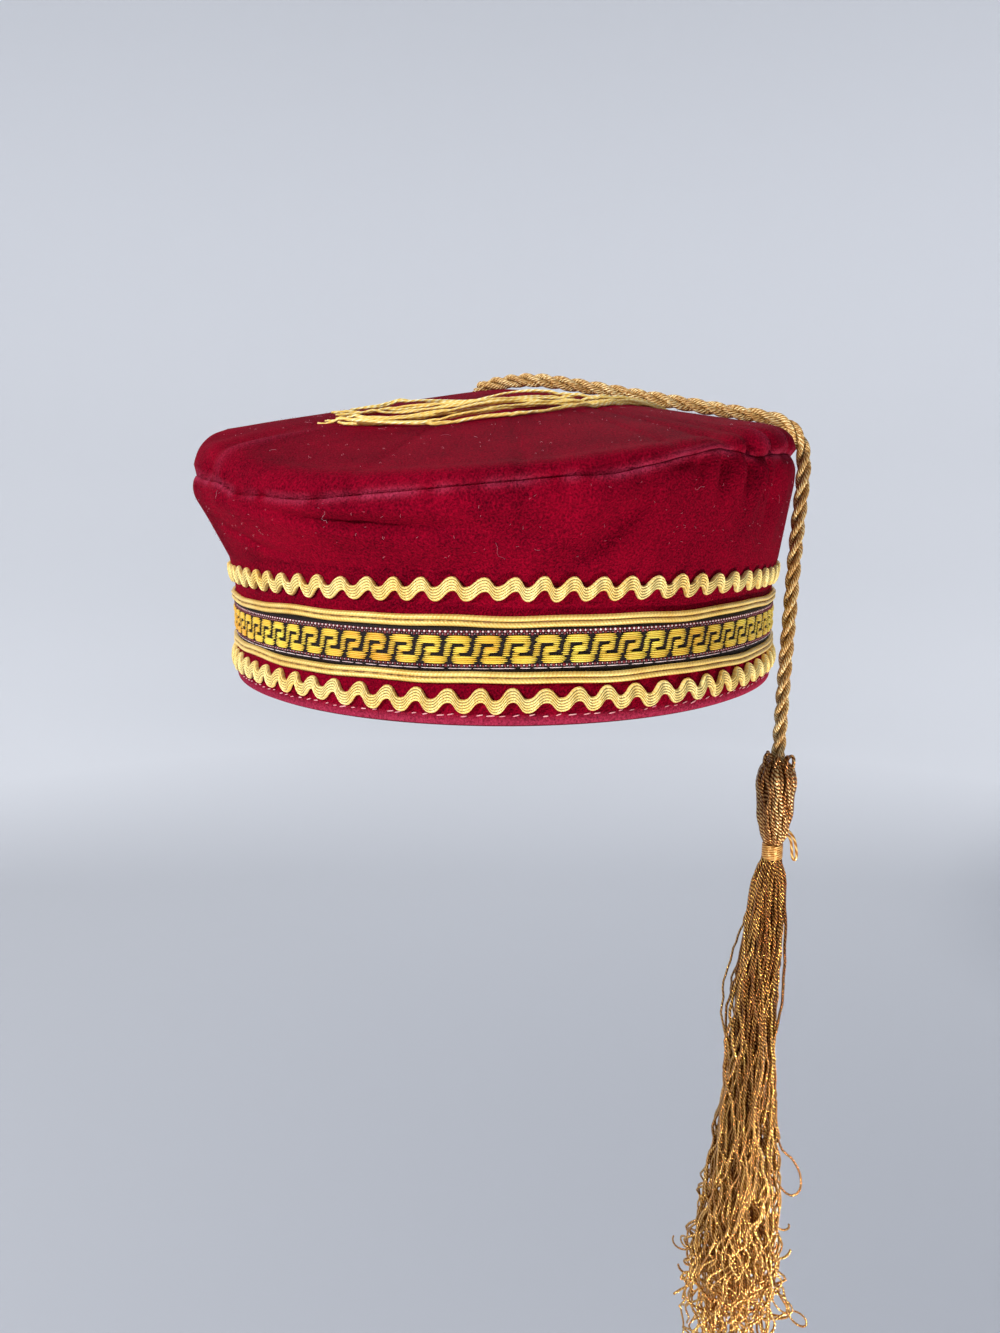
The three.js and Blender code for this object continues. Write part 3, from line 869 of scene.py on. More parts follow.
# Each braid's first colour is its painted groove shade.
RICKRACK_GOLD = braid_material(
    "rickrack_gold", (90, 50, 10), (248, 202, 92), (255, 242, 168),
    ribs=5.0, thread=0.7 * MM, slant=0.6,
)
SOUTACHE_GOLD = braid_material(
    "soutache_gold", (116, 72, 20), (220, 174, 74), (255, 228, 140),
    ribs=2.0, thread=0.9 * MM, slant=0.9,
)
RIBBON_GROUND = ribbon_material("ribbon_ground", (8, 5, 6), (34, 23, 24))
KEY_FLOSS = floss_material("key_floss", (226, 160, 26), (248, 230, 88))
PALE_DOT = floss_material("pale_dot", (232, 190, 198), (252, 238, 238))
WINE_DOT = floss_material("wine_dot", (78, 10, 24), (124, 24, 40))
HEM_THREAD = floss_material("hem_thread", (206, 120, 134), (238, 176, 182))
TAN_THREAD = floss_material("tan_thread", (104, 60, 18), (150, 98, 38))
LINT = floss_material("lint", (150, 62, 84), (204, 140, 152))
CROWN_YARN = yarn_material(
    "crown_yarn", (236, 188, 80), (255, 230, 130), (255, 251, 206),
    lay=4 * MM, rough=0.36, lustre=0.0, depth=0.06 * MM,
)
ROPE_YARN = yarn_material(
    "rope_yarn", (130, 74, 22), (255, 200, 108), (255, 246, 194),
    lay=3 * MM, rough=0.3, lustre=0.14, depth=0.2 * MM,
)
# Darker near the top and paler towards the tips: painted shade on the upper skirt, painted light
# on the lower.
TASSEL_YARN = yarn_material(
    "tassel_yarn", (50, 17, 0), (148, 75, 8), (255, 210, 112),
    lay=2.6 * MM, rough=0.17, lustre=0.74, depth=0.3 * MM, ends=((240, 194, 118), 0.05, 0.17),
)
# The same yarn as the skirt's, made lighter: painted light for the glints on the tassel's head.
LIT_HEAD_YARN = yarn_material(
    "head_yarn", (74, 31, 3), (200, 118, 30), (255, 232, 166),
    lay=2.6 * MM, rough=0.17, lustre=0.62, depth=0.3 * MM,
)
BINDING_FLOSS = yarn_material(
    "binding_floss", (142, 82, 22), (218, 150, 62), (255, 226, 150),
    lay=6 * MM, rough=0.28, lustre=0.35, depth=0.05 * MM,
)


# Cord, from the middle of the crown over its edge and down to the tassel

CORD_DIAMETER = 4.4 * MM
CORD_LAY = 18 * MM
CORD_STRANDS = 3
STRAND_RADIUS = 0.97 * MM
STRAND_OFFSET = CORD_DIAMETER / 2 - STRAND_RADIUS
STRAND_YARNS = 8
STRAND_LAY = 11 * MM
ROPE_YARN_RADIUS = 0.3 * MM
ROPE_YARN_SIDES = 5
CORD_HEART = 0.4 * MM
FRAY_LENGTH = 7 * MM
FRAY_SPREAD = 1.5 * MM
CORD_POINTS = 300
CORD_ROUTE = MM * np.array([
    (-8, 6, 87.6), (-1, 1.5, 88.6), (6, -3.5, 88.7), (12, -7, 88.1), (18, -9.3, 87),
    (24, -10.8, 85.9), (30, -12.3, 84.7), (41.6, -15.2, 82.3), (53.3, -18.1, 80),
    (64.8, -20.9, 77.7), (71, -22.4, 76.5), (76.4, -23.8, 75.4), (81.3, -24.9, 74.1),
    (84.9, -25.8, 71.8), (87.3, -26.4, 68.4), (88.6, -26.6, 64.5), (88.9, -26.7, 60),
    (88.8, -26.7, 54), (88.3, -26.5, 44), (87.8, -26.4, 30), (87.4, -26.3, 14),
    (87, -26.2, -2), (86.8, -26.1, -17), (86.6, -26, -31),
])


def spiral_about(line, radius, lay, start):
    """A line wound round another line."""
    side, up = sides_along(line)
    angle = (start + FULL_TURN * run_along(line) / lay)[:, None]
    return line + radius * (side * np.cos(angle) + up * np.sin(angle))


def make_cord():
    rng = seeded(3)
    path = smooth_line(CORD_ROUTE, CORD_POINTS)
    loose = np.clip(1 - run_along(path) / FRAY_LENGTH, 0, 1)[:, None] ** 2
    offset = STRAND_RADIUS - ROPE_YARN_RADIUS
    lines = [path]
    thick = [CORD_HEART / ROPE_YARN_RADIUS]
    for strand in range(CORD_STRANDS):
        middle = spiral_about(path, STRAND_OFFSET, CORD_LAY, FULL_TURN * strand / CORD_STRANDS)
        lines.append(middle)
        thick.append(offset / ROPE_YARN_RADIUS)
        for yarn in range(STRAND_YARNS):
            start = FULL_TURN * yarn / STRAND_YARNS
            fray = FRAY_SPREAD * loose * rng.uniform(-1, 1, 3)
            lines.append(spiral_about(middle, offset, -STRAND_LAY, start) + fray)
            thick.append(1.0)
    cord = sweep_yarns("hanging_cord", lines, ROPE_YARN_RADIUS, ROPE_YARN_SIDES, ROPE_YARN, thick)
    dress(cord, "old_gold_cord", "tassel_cord")


# Velvet crown

CAP_COLUMNS = 576
BAND_ROWS = 22
PANEL_ROWS = 46
SHOULDER_ROWS = 26
DOME_ROWS = 38
INNER_BAND_ROWS = 8
INNER_PANEL_ROWS = 12
INNER_SHOULDER_ROWS = 8
INNER_DOME = [0.05, 0.2, 0.4, 0.6, 0.8]
HEM_ROUND = 0.5 * MM
HEM_TURN = 1.5 * MM
# Painted rosy sheen: at the hem, where the pile also lies the other way, along the seam and on the
# ridges of the top's folds.
HEM_SHEEN_AND_NAP = 3 * MM
SEAM_SHEEN_REACH = 1.0 * MM
SEAM_SHEEN_WAVES = (9, 23, 47, 71, 113)
SEAM_SHEEN_MIDDLE = 0.5
SEAM_SHEEN_SWING = 1.2
RIDGE_SHEEN_MOST = 0.35
RIDGE_SHEEN_FULL_AT = 1.1 * MM


def even_columns():
    return turn_at(np.linspace(0, RIM_LENGTH, CAP_COLUMNS, endpoint=False))


def seam_sheen(turn, rows):
    """Painted rosy sheen along the seam, in uneven stretches."""
    place = np.mod(turn - BACK_TURN, 360) / 360
    uneven = SEAM_SHEEN_MIDDLE + wander(seeded(31), place, SEAM_SHEEN_WAVES, SEAM_SHEEN_SWING)
    away = (rows[..., 2] - crown_sections(turn)[0]) / SEAM_SHEEN_REACH
    return np.clip(uneven, 0, 1) * np.exp(-away**2)


def ridge_sheen(turn, shares):
    """Painted rosy sheen on the ridges of the top's folds."""
    push = fold_push(TOP_FOLDS, turn, np.asarray(shares)[:, None])
    return RIDGE_SHEEN_MOST * np.clip(push / RIDGE_SHEEN_FULL_AT, 0, 1)


def paint_inside(piece, first, last=None):
    """Gives the faces between two counts the plain back of the cloth, the rest the pile."""
    piece.data.materials.append(VELVET)
    piece.data.materials.append(VELVET_BACK)
    inside = np.zeros(len(piece.data.polygons), int)
    inside[first:last] = 1
    piece.data.polygons.foreach_set("material_index", inside)


def make_side():
    turn = even_columns()
    heights = np.concatenate([[HEM_ROUND], np.linspace(HEM_TURN, BAND_TOP, BAND_ROWS)])
    rises = np.linspace(0, 1, PANEL_ROWS)[1:]
    outer = np.vstack([band_points(turn, heights, 0), panel_points(turn, rises, 0)])
    tuck = tucked(outer[-1], SEAM_TUCK)
    inner_rises = np.linspace(1, 0, INNER_PANEL_ROWS)
    inner_heights = np.linspace(BAND_TOP, HEM_ROUND, INNER_BAND_ROWS)[1:]
    inner = np.vstack([panel_points(turn, inner_rises, 1), band_points(turn, inner_heights, 1)])
    inner[0] = tucked(inner[0], SEAM_TUCK - WALL / 2)
    hem = on_oval(turn, band_outward(0.0) - WALL / 2, np.zeros(CAP_COLUMNS))
    rows = np.concatenate([outer, tuck[None], inner, hem[None]])
    piece = link_mesh("crown_wall", rows, ring_faces(len(rows), CAP_COLUMNS, True))
    paint_inside(piece, (len(outer) + 1) * CAP_COLUMNS)
    # Painted rosy sheen at the hem, where the pile also lies the other way, and along the seam.
    nap = np.clip((HEM_SHEEN_AND_NAP - rows[..., 2]) / HEM_SHEEN_AND_NAP, 0, 1) ** 0.5 + seam_sheen(turn, rows)
    store(piece, "nap", np.clip(nap, 0, 1).ravel())
    dress(piece, "velvet", "crown_side")


def make_top():
    turn = even_columns()
    shares = np.linspace(0, 1, SHOULDER_ROWS)
    rings = np.linspace(1, 0, DOME_ROWS)[1:-1]
    outer = np.vstack([shoulder_points(turn, shares, 0), dome_points(turn, rings, 0)])
    tuck = tucked(outer[0], SEAM_TUCK)
    inner_shares = np.linspace(1, 0, INNER_SHOULDER_ROWS)
    inner = np.vstack([dome_points(turn, INNER_DOME, 1), shoulder_points(turn, inner_shares, 1)])
    inner[-1] = tucked(inner[-1], SEAM_TUCK - WALL / 2)
    rows = np.concatenate([inner, tuck[None], outer])
    points = rows.reshape(-1, 3)
    low, high = len(points), len(points) + 1
    final = len(points) - CAP_COLUMNS
    pairs = [(k, (k + 1) % CAP_COLUMNS) for k in range(CAP_COLUMNS)]
    faces = [[after, k, low] for k, after in pairs]
    faces += ring_faces(len(rows), CAP_COLUMNS, False).tolist()
    faces += [[final + k, final + after, high] for k, after in pairs]
    ends = [(0, 0, APEX_HEIGHT - WALL), (0, 0, APEX_HEIGHT)]
    piece = link_mesh("crown_cover", np.vstack([points, ends]), faces)
    paint_inside(piece, 0, len(inner) * CAP_COLUMNS)
    # Painted rosy sheen along the seam and on the ridges of the top's folds.
    nap = seam_sheen(turn, rows)
    climb = down_table(SHOULDER_CURVE, shares)[1]
    reached = np.concatenate([climb, 1 + CROWN_REACH * (1 - rings)])
    nap[len(inner) + 1:] += ridge_sheen(turn, reached)
    store(piece, "nap", np.concatenate([np.clip(nap, 0, 1).ravel(), [0, 0]]))
    dress(piece, "velvet", "crown_top")


LINT_COUNT = 700
LINT_POINTS = 7
LINT_RADIUS = 0.035 * MM
LINT_SIDES = 3
LINT_LONG_SHARE = 0.1
LINT_SIDE_SHARE = 0.45
LINT_SIDE_RISES = (0.15, 0.95)
LINT_TOP_AREAS = (0.1, 1)
LONG_LINT = (2.5, 4.5)
SHORT_LINT = (0.25, 0.7)
LINT_WAVES = (0.6, 1.3)
LINT_CURL = 2.5
LINT_LIFT = 0.12 * MM
LINT_ARCH = 0.25 * MM


def make_lint():
    """Specks of fluff and a few curled hairs caught in the pile."""
    rng = seeded(41)
    up = np.array([0, 0, 1.0])
    step = np.linspace(0, 1, LINT_POINTS)
    rise = LINT_LIFT + LINT_ARCH * np.sin(math.pi * step)
    lines = []
    for _ in range(LINT_COUNT):
        turn = np.array([rng.uniform(0, 360)])
        out, along = out_of_oval(turn)
        if rng.uniform() < LINT_SIDE_SHARE:
            place = panel_points(turn, [rng.uniform(*LINT_SIDE_RISES)], 0)[0, 0]
            across, lift = up, out[0]
        else:
            place = dome_points(turn, [math.sqrt(rng.uniform(*LINT_TOP_AREAS))], 0)[0, 0]
            across, lift = out[0], up
        long = rng.uniform() < LINT_LONG_SHARE
        stride = rng.uniform(*(LONG_LINT if long else SHORT_LINT)) * MM / (LINT_POINTS - 1)
        way = np.full(LINT_POINTS, rng.uniform(0, FULL_TURN))
        if long:
            way = way + wander(rng, step, LINT_WAVES, LINT_CURL)
        x, y = np.cumsum(np.cos(way)) * stride, np.cumsum(np.sin(way)) * stride
        lines.append(place + np.outer(x, along[0]) + np.outer(y, across) + np.outer(rise, lift))
    dress(sweep_yarns("velvet_lint", lines, LINT_RADIUS, LINT_SIDES, LINT), "velvet")


# Sewn trims

TRIM_LIFT = 0.3 * MM
STRIP_SINK = 0.05 * MM
STRIP_BACK = np.array([0.9, -0.9])
RICKRACK_WIDTH = 3.2 * MM
RICKRACK_THICK = 0.9 * MM
RICKRACK_LEAST = 0.25
RICKRACK_CROWN = 0.4
RICKRACK_EDGE = 5
RICKRACK_RIBS = 5
RIB_HEIGHT = 0.4 * MM
RIB_FULLNESS = 0.6
WAVE_CURL = 0.25 * MM
RICKRACK_STEPS = 20
RICKRACK_ACROSS = 17
ROUNDING = 1.1
SQUARENESS = 0.12
# Swings along a row of rick-rack, as waves and size: in the pace, size and height of its waves.
RICKRACK_PACE = ((5, 9, 16, 23), 0.9)
RICKRACK_SWELL = ((7, 19, 31), 0.25)
RICKRACK_DRIFT = ((3, 5, 8), 0.5 * MM)
SOUTACHE_WIDTH = 2.6 * MM
SOUTACHE_THICK = 1.0 * MM
SOUTACHE_LEAST = 0.35
SOUTACHE_ACROSS = 15
SOUTACHE_STEPS = 840
# Swings along a soutache: in its height and its plumpness.
SOUTACHE_DRIFT = ((2, 5, 9, 14, 26), 0.8 * MM)
SOUTACHE_SWELL = ((17, 41, 73), 0.15)
STITCH_PITCH = 3.0 * MM
STITCH_COUNT = int(RIM_LENGTH / STITCH_PITCH)
GROOVE_STITCH = MM * np.array([0.85, 0.2, 0.22])
GROOVE_STITCH_LIFT = 0.6 * MM
GROOVE_STITCH_SLANT = 0.2
GROOVE_STITCH_JITTER = 0.3
# Where a stitch falls within its pitch.
GROOVE_STITCH_FALL = (0.2, 0.8)


def strip_ring(name, run, centre, half_width, across, lift, material, square=0.0):
    """A strip sewn round the wall: its middle height along the run and its lift across.
    square turns its width from plumb towards square to its waves."""
    slope = np.gradient(centre, run)[None, :]
    steep = np.sqrt(1 + slope**2)

    def spread(sideways):
        step = sideways[:, None] * half_width
        level = centre + step * (1 - square + square / steep)
        return turn_at(run - square * step * slope / steep), level

    rows = np.concatenate([
        on_band(*spread(across), TRIM_LIFT + lift), on_band(*spread(STRIP_BACK), STRIP_SINK)
    ])
    piece = link_mesh(name, rows, ring_faces(len(rows), len(run), True))
    weave = np.zeros(rows.shape)
    weave[..., 0] = run
    weave[..., 1] = np.concatenate([across, STRIP_BACK])[:, None]
    store(piece, "weave", weave.reshape(-1, 3))
    piece.data.materials.append(material)
    return piece


def make_rickrack(name, node, height, waves, swing, lean):
    """A wavy ribbed braid that swings up and down; lean tips its waves over to one side."""
    rng = seeded(waves)
    share = np.linspace(0, 1, waves * RICKRACK_STEPS, endpoint=False)
    phase = FULL_TURN * waves * share + wander(rng, share, *RICKRACK_PACE)
    wave = np.tanh(ROUNDING * np.sin(phase - lean * np.sin(phase))) / math.tanh(ROUNDING)
    size = swing * (1 + wander(rng, share, *RICKRACK_SWELL))
    centre = height + size * wave + wander(rng, share, *RICKRACK_DRIFT)
    across = np.linspace(-1, 1, RICKRACK_ACROSS)
    edge = (1 - np.abs(across) ** RICKRACK_EDGE)[:, None]
    rib = np.abs(np.sin(RICKRACK_RIBS * math.pi * (across + 1) / 2))[:, None] ** RIB_FULLNESS
    curl = WAVE_CURL * np.cos(2 * phase)[None, :]
    lift = RICKRACK_THICK * (RICKRACK_LEAST + RICKRACK_CROWN * edge) + RIB_HEIGHT * rib
    piece = strip_ring(
        name, share * RIM_LENGTH, centre, RICKRACK_WIDTH / 2, across, lift + curl * edge,
        RICKRACK_GOLD, SQUARENESS,
    )
    dress(piece, "gold_braid", node)


def stitch_row(name, run, level, lift, slant, size, thread, jitter):
    """Stitches along the rim, each slanting up a little as it goes."""
    turn = turn_at(run)
    out, along = out_of_oval(turn)
    along[:, 2] = slant
    places = on_band(turn, level, lift)
    return sew(name, THREAD_MOTIF, places, out, unit(along), size, thread, jitter)


def make_soutache(name, node, height):
    """A narrow braid of two rounded ridges with stitches in the groove between them."""
    rng = seeded(int(height / MM))
    share = np.linspace(0, 1, SOUTACHE_STEPS, endpoint=False)
    centre = height + wander(rng, share, *SOUTACHE_DRIFT)
    across = np.linspace(-1, 1, SOUTACHE_ACROSS)
    ridge = np.sqrt(np.clip(1 - (2 * np.abs(across) - 1) ** 2, 0, 1))[:, None]
    plump = 1 + wander(rng, share, *SOUTACHE_SWELL)[None, :]
    lift = SOUTACHE_THICK * (SOUTACHE_LEAST + (1 - SOUTACHE_LEAST) * ridge) * plump
    half = SOUTACHE_WIDTH / 2
    piece = strip_ring(name, share * RIM_LENGTH, centre, half, across, lift, SOUTACHE_GOLD)
    dress(piece, "gold_braid", node)
    fall = rng.uniform(*GROOVE_STITCH_FALL, STITCH_COUNT)
    run = (np.arange(STITCH_COUNT) + fall) * STITCH_PITCH
    level = np.interp(run, share * RIM_LENGTH, centre)
    stitches = stitch_row(
        name + "_stitches", run, level, TRIM_LIFT + GROOVE_STITCH_LIFT, GROOVE_STITCH_SLANT,
        GROOVE_STITCH, TAN_THREAD, GROOVE_STITCH_JITTER,
    )
    dress(stitches, "gold_braid")


HEM_STITCH_HEIGHT = 2.7 * MM
HEM_STITCH_LIFT = 0.08 * MM
HEM_STITCH_RADIUS = 0.15
HEM_STITCH_JITTER = 0.15
# Where a hem stitch falls within its pitch, how it strays in height, its slant and half length.
HEM_STITCH_FALL = (0.3, 0.7)
HEM_STITCH_STRAY = (-0.25, 0.25)
HEM_STITCH_SLANTS = (0.05, 0.3)
HEM_STITCH_LENGTHS = (0.55, 1.0)


def make_hem_stitches():
    rng = seeded(2)
    count = STITCH_COUNT
    run = (np.arange(count) + rng.uniform(*HEM_STITCH_FALL, count)) * RIM_LENGTH / count
    level = HEM_STITCH_HEIGHT + rng.uniform(*HEM_STITCH_STRAY, count) * MM
    slant = rng.uniform(*HEM_STITCH_SLANTS, count)
    length = rng.uniform(*HEM_STITCH_LENGTHS, count)
    width = np.full(count, HEM_STITCH_RADIUS)
    size = MM * np.column_stack([length, width, width])
    stitches = stitch_row(
        "hem_stitches", run, level, HEM_STITCH_LIFT, slant, size, HEM_THREAD,
        HEM_STITCH_JITTER,
    )
    dress(stitches, "velvet")


# Woven ribbon

RIBBON_HEIGHT = 17.5 * MM
RIBBON_HALF = 5.6 * MM
RIBBON_THICK = 0.25 * MM
RIBBON_EDGE = 8
RIBBON_ACROSS = 9
RIBBON_STEPS = 540
RIBBON_DRIFT = ((2, 5, 9), 0.3 * MM)
KEY_REPEATS = 88
KEY_ROW = 0.415 * MM
KEY_LEAN = 0.008
KEY_STRAY = 0.015
KEY_STRETCH = (0.97, 1.12)
KEY_LIFT = 0.1 * MM
FLOAT_ENDS = 0.2 * MM
FLOAT_BULGE = 0.14 * MM
FLOAT_ARCH = 0.11
FLOAT_JITTER = 0.03
BAR, STEM = 0.24 * MM, 0.14 * MM
# The key's rows of floats from the top down: stretches of one repeat and each one's half height.
KEY_CHART = (
    [[(0.06, 0.74, BAR)], [(0.01, 0.80, BAR)], [(0.00, 0.82, BAR)], [(0.02, 0.79, BAR)]]
    + [[(-0.02, 0.17, STEM), (0.62, 0.80, STEM)]] * 2
    + [[(-0.03, 0.16, STEM), (0.34, 0.76, BAR)], [(-0.03, 0.16, STEM), (0.29, 0.79, BAR)],
       [(-0.03, 0.16, STEM), (0.32, 0.74, BAR)]]
    + [[(-0.04, 0.15, STEM), (0.29, 0.48, STEM)]] * 2
    + [[(0.30, 1.06, BAR)], [(0.27, 1.10, BAR)], [(0.27, 1.09, BAR)], [(0.33, 1.03, BAR)]]
)
DOT_COUNT = 484
DOT_LIFT = 0.04 * MM
DOT_FLATNESS = 0.6
DOT_JITTER = 0.15
# Rows of dots: height from the ribbon's middle, shift in dots and radius, in millimetres.
PALE_DOTS = [(4.05, 0.0, 0.25), (3.5, 0.5, 0.1), (-3.55, 0.5, 0.14)]
WINE_DOTS = [(4.05, 0.5, 0.33), (3.45, 0.0, 0.34), (-3.55, 0.0, 0.36)]
EDGE_LINE = -4.2 * MM
EDGE_STITCHES = KEY_REPEATS * 2
EDGE_STITCH_FALL = (0.3, 0.6)
EDGE_STITCH_LENGTHS = (1.2, 2.1)
EDGE_STITCH_RADII = (0.09, 0.1)
EDGE_STITCH_JITTER = 0.1


def make_ribbon():
    share = np.linspace(0, 1, RIBBON_STEPS, endpoint=False)
    rng = seeded(17)
    centre = RIBBON_HEIGHT + wander(rng, share, *RIBBON_DRIFT)
    across = np.linspace(-1, 1, RIBBON_ACROSS)
    lift = RIBBON_THICK * (1 - across**RIBBON_EDGE)[:, None] + 0 * share
    piece = strip_ring(
        "ribbon_ground", share * RIM_LENGTH, centre, RIBBON_HALF, across, lift, RIBBON_GROUND
    )
    dress(piece, "key_ribbon", "key_ribbon")

    def on_ribbon(run, up, lift):
        turn = turn_at(run)
        level = np.interp(np.mod(run, RIM_LENGTH), share * RIM_LENGTH, centre) + up
        return on_band(turn, level, TRIM_LIFT + RIBBON_THICK + lift), *out_of_oval(turn)

    pitch = RIM_LENGTH / KEY_REPEATS
    repeats = np.arange(KEY_REPEATS)
    middle = (len(KEY_CHART) - 1) / 2
    run, up, size = [], [], []
    for row, stretches in enumerate(KEY_CHART):
        for first, last, half_height in stretches:
            shift = KEY_LEAN * (row - middle)
            near = (first + last) / 2 - shift + rng.uniform(-KEY_STRAY, KEY_STRAY, KEY_REPEATS)
            run.append((repeats + near) * pitch)
            up.append(np.full(KEY_REPEATS, (middle - row) * KEY_ROW))
            stretch = rng.uniform(*KEY_STRETCH, KEY_REPEATS)
            reach = (last - first) / 2 * pitch * stretch + FLOAT_ENDS
            bulge = FLOAT_BULGE + FLOAT_ARCH * reach
            size.append(np.column_stack([reach, np.full(KEY_REPEATS, half_height), bulge]))
    places, out, along = on_ribbon(np.concatenate(run), np.concatenate(up), KEY_LIFT)
    size = np.vstack(size)
    floats = sew(
        "ribbon_key", FLOAT_MOTIF, places, out, along, size, KEY_FLOSS, FLOAT_JITTER
    )
    dress(floats, "key_ribbon")

    step = RIM_LENGTH / DOT_COUNT
    for name, rows, material in (
        ("ribbon_pale_dots", PALE_DOTS, PALE_DOT), ("ribbon_wine_dots", WINE_DOTS, WINE_DOT)
    ):
        spots = [on_ribbon((np.arange(DOT_COUNT) + late) * step, level * MM, DOT_LIFT)
                 for level, late, _ in rows]
        places, out, along = (np.vstack(part) for part in zip(*spots))
        width = np.repeat([radius for _, _, radius in rows], DOT_COUNT)
        size = MM * np.column_stack([width, width, DOT_FLATNESS * width])
        dots = sew(name, DOT_MOTIF, places, out, along, size, material, DOT_JITTER)
        dress(dots, "key_ribbon")

    count = EDGE_STITCHES
    run = (np.arange(count) + rng.uniform(*EDGE_STITCH_FALL, count)) * RIM_LENGTH / count
    places, out, along = on_ribbon(run, EDGE_LINE, DOT_LIFT)
    length = rng.uniform(*EDGE_STITCH_LENGTHS, count)
    width, height = (np.full(count, radius) for radius in EDGE_STITCH_RADII)
    size = MM * np.column_stack([length, width, height])
    line = sew(
        "ribbon_edge_line", THREAD_MOTIF, places, out, along, size, PALE_DOT, EDGE_STITCH_JITTER
    )
    dress(line, "key_ribbon")


# Spray of yarns on the crown

# Place at the middle, at the left end and at the right end, from the back yarns to the front.
SPRAY_LOCKS = MM * np.array([
    (-28, -45, -37, 45, -24.5), (-34, -48, -40, 49, -25), (-40, -50, -43.5, 51, -26),
    (-46, -50, -47, 48, -29), (-52, -47, -50.5, 43, -33), (-58, -41, -54, 36, -38),
])
# Bundles of yarns across the spray: place from back to front, and yarns.
SPRAY_BUNDLES = [
    (0.03, 2), (0.18, 3), (0.34, 2), (0.50, 3), (0.66, 3), (0.82, 3), (0.97, 3),
]
SPRAY_POINTS = 90
SPRAY_RADIUS = 0.35 * MM
SPRAY_SIDES = 7
# Swings along the spray: a bundle's sideways and in height, then one yarn's over its neighbours,
# its small kinks and its height.
BUNDLE_BEND = ((0.9, 1.8), 0.19)
BUNDLE_BOW = ((0.7, 1.3), 2 * MM)
LANE_DRIFT = ((1.1, 2.3), 0.035)
LANE_KINK = ((5, 9, 14), 0.25 * MM)
LANE_BOW = ((1.3, 2.4, 4.1), 0.6 * MM)
# Where a yarn starts and ends along the spray.
SPRAY_STARTS = (-0.02, 0.05)
SPRAY_ENDS = (0.94, 1.0)
# Where the yarns gather under the cord, how wide they lie there and how nearly they meet.
SPRAY_GATHER = MM * np.array([49.5, -17.2])
GATHER_FROM = 0.78
GATHER_WIDTH = 3 * MM
GATHER_SHARE = 0.95


def bow_between(share, left, middle, right):
    """A bow from left to right with its middle pulled aside."""
    return (1 - share) ** 2 * left + 2 * share * (1 - share) * middle + share**2 * right


def spray_line(rng, lane, bend, bow):
    """One yarn of the spray: a bow across the crown that drifts over its neighbours."""
    share = np.linspace(rng.uniform(*SPRAY_STARTS), rng.uniform(*SPRAY_ENDS), SPRAY_POINTS)
    between = np.sin(math.pi * np.clip(share, 0, 1))
    drift = lane + (bend + wander(rng, share, *LANE_DRIFT)) * between
    middle, left_x, left_y, right_x, right_y = down_table(SPRAY_LOCKS, np.clip(drift, 0, 1))
    x = bow_between(share, left_x, (left_x + right_x) / 2, right_x)
    y = bow_between(share, left_y, 2 * middle - (left_y + right_y) / 2, right_y)
    y = y + wander(rng, share, *LANE_KINK)
    lift = np.abs(bow + wander(rng, share, *LANE_BOW))
    late = np.clip((share - GATHER_FROM) / (1 - GATHER_FROM), 0, 1)
    gather = GATHER_SHARE * late**2 * (3 - 2 * late)
    x = x + gather * (SPRAY_GATHER[0] + (0.5 - lane) * GATHER_WIDTH - x)
    y = y + gather * (SPRAY_GATHER[1] - y)
    lift = SPRAY_RADIUS + lift * (1 - gather)
    return np.column_stack([x, y, top_height(x, y) + lift])


def make_spray():
    rng = seeded(5)
    along = np.linspace(0, 1, SPRAY_POINTS)
    lines = []
    for lane, yarns in SPRAY_BUNDLES:
        bend = wander(rng, along, *BUNDLE_BEND)
        bow = wander(rng, along, *BUNDLE_BOW)
        lines += [spray_line(rng, lane, bend, bow) for _ in range(yarns)]
    spray = sweep_yarns("crown_yarns", lines, SPRAY_RADIUS, SPRAY_SIDES, CROWN_YARN)
    dress(spray, "yellow_strand", "crown_spray")


# Tassel

TASSEL_AXIS = CORD_ROUTE[-1] * [1, 1, 0]
TASSEL_TOP = -29.5 * MM
NECK_TOP = -57 * MM
NECK_BOTTOM = -62.4 * MM
SKIRT_BOTTOM = -246 * MM
SKIRT_LEAN = -6 * MM
SKIRT_YARNS = 190
SKIRT_POINTS = 80
SKIRT_YARN_RADIUS = 0.51 * MM
SKIRT_YARN_SIDES = 6
SKIRT_TAPER = 0.75
SKIRT_THICKS = (0.8, 1.15)
# Shares of the skirt's radius that its yarns hang at, and the power that crowds them outwards.
SKIRT_FULLS = (0.12, 1.04)
FULL_POWER = 0.75
# Height and radius of the whole skirt, in millimetres.
SKIRT_PROFILE = MM * np.array([
    (-246, 17.5), (-234, 17), (-209, 15), (-180, 12), (-155, 9.6), (-138, 7.8),
    (-112, 6.4), (-80, 5.7), (-71, 5.2), (-66, 4.2), (-62.4, 2.5), (-57, 2.3),
])
# How much the tips differ in height, and how much closer a yarn's points lie towards its tip.
RAGGED = 30 * MM
CROWDED = 0.4
# Yarns that leave the skirt for a stretch: how many, how far in millimetres, from where, how long.
ESCAPEES = 26
ESCAPES = (3, 8)
ESCAPE_FROM = (0.02, 0.6)
ESCAPE_SPAN = 0.4
# Swings of each yarn down the skirt: waves and size.
SKIRT_TURN = ((0.7, 1.6, 3.1), 0.8)
DRIFT = ((1.5, 3, 5), 4.5 * MM)
KINK = ((15, 21, 27), 0.5 * MM)
CURL_WAVES = (7, 11, 16)
CURLS = (1, 11)
# How the drift, the curl and the skirt's lean grow downwards, and how soon the kinks begin.
DRIFT_POWER = 1.6
CURL_POWER = 3
LEAN_POWER = 0.8
KINKS_SOON = 6
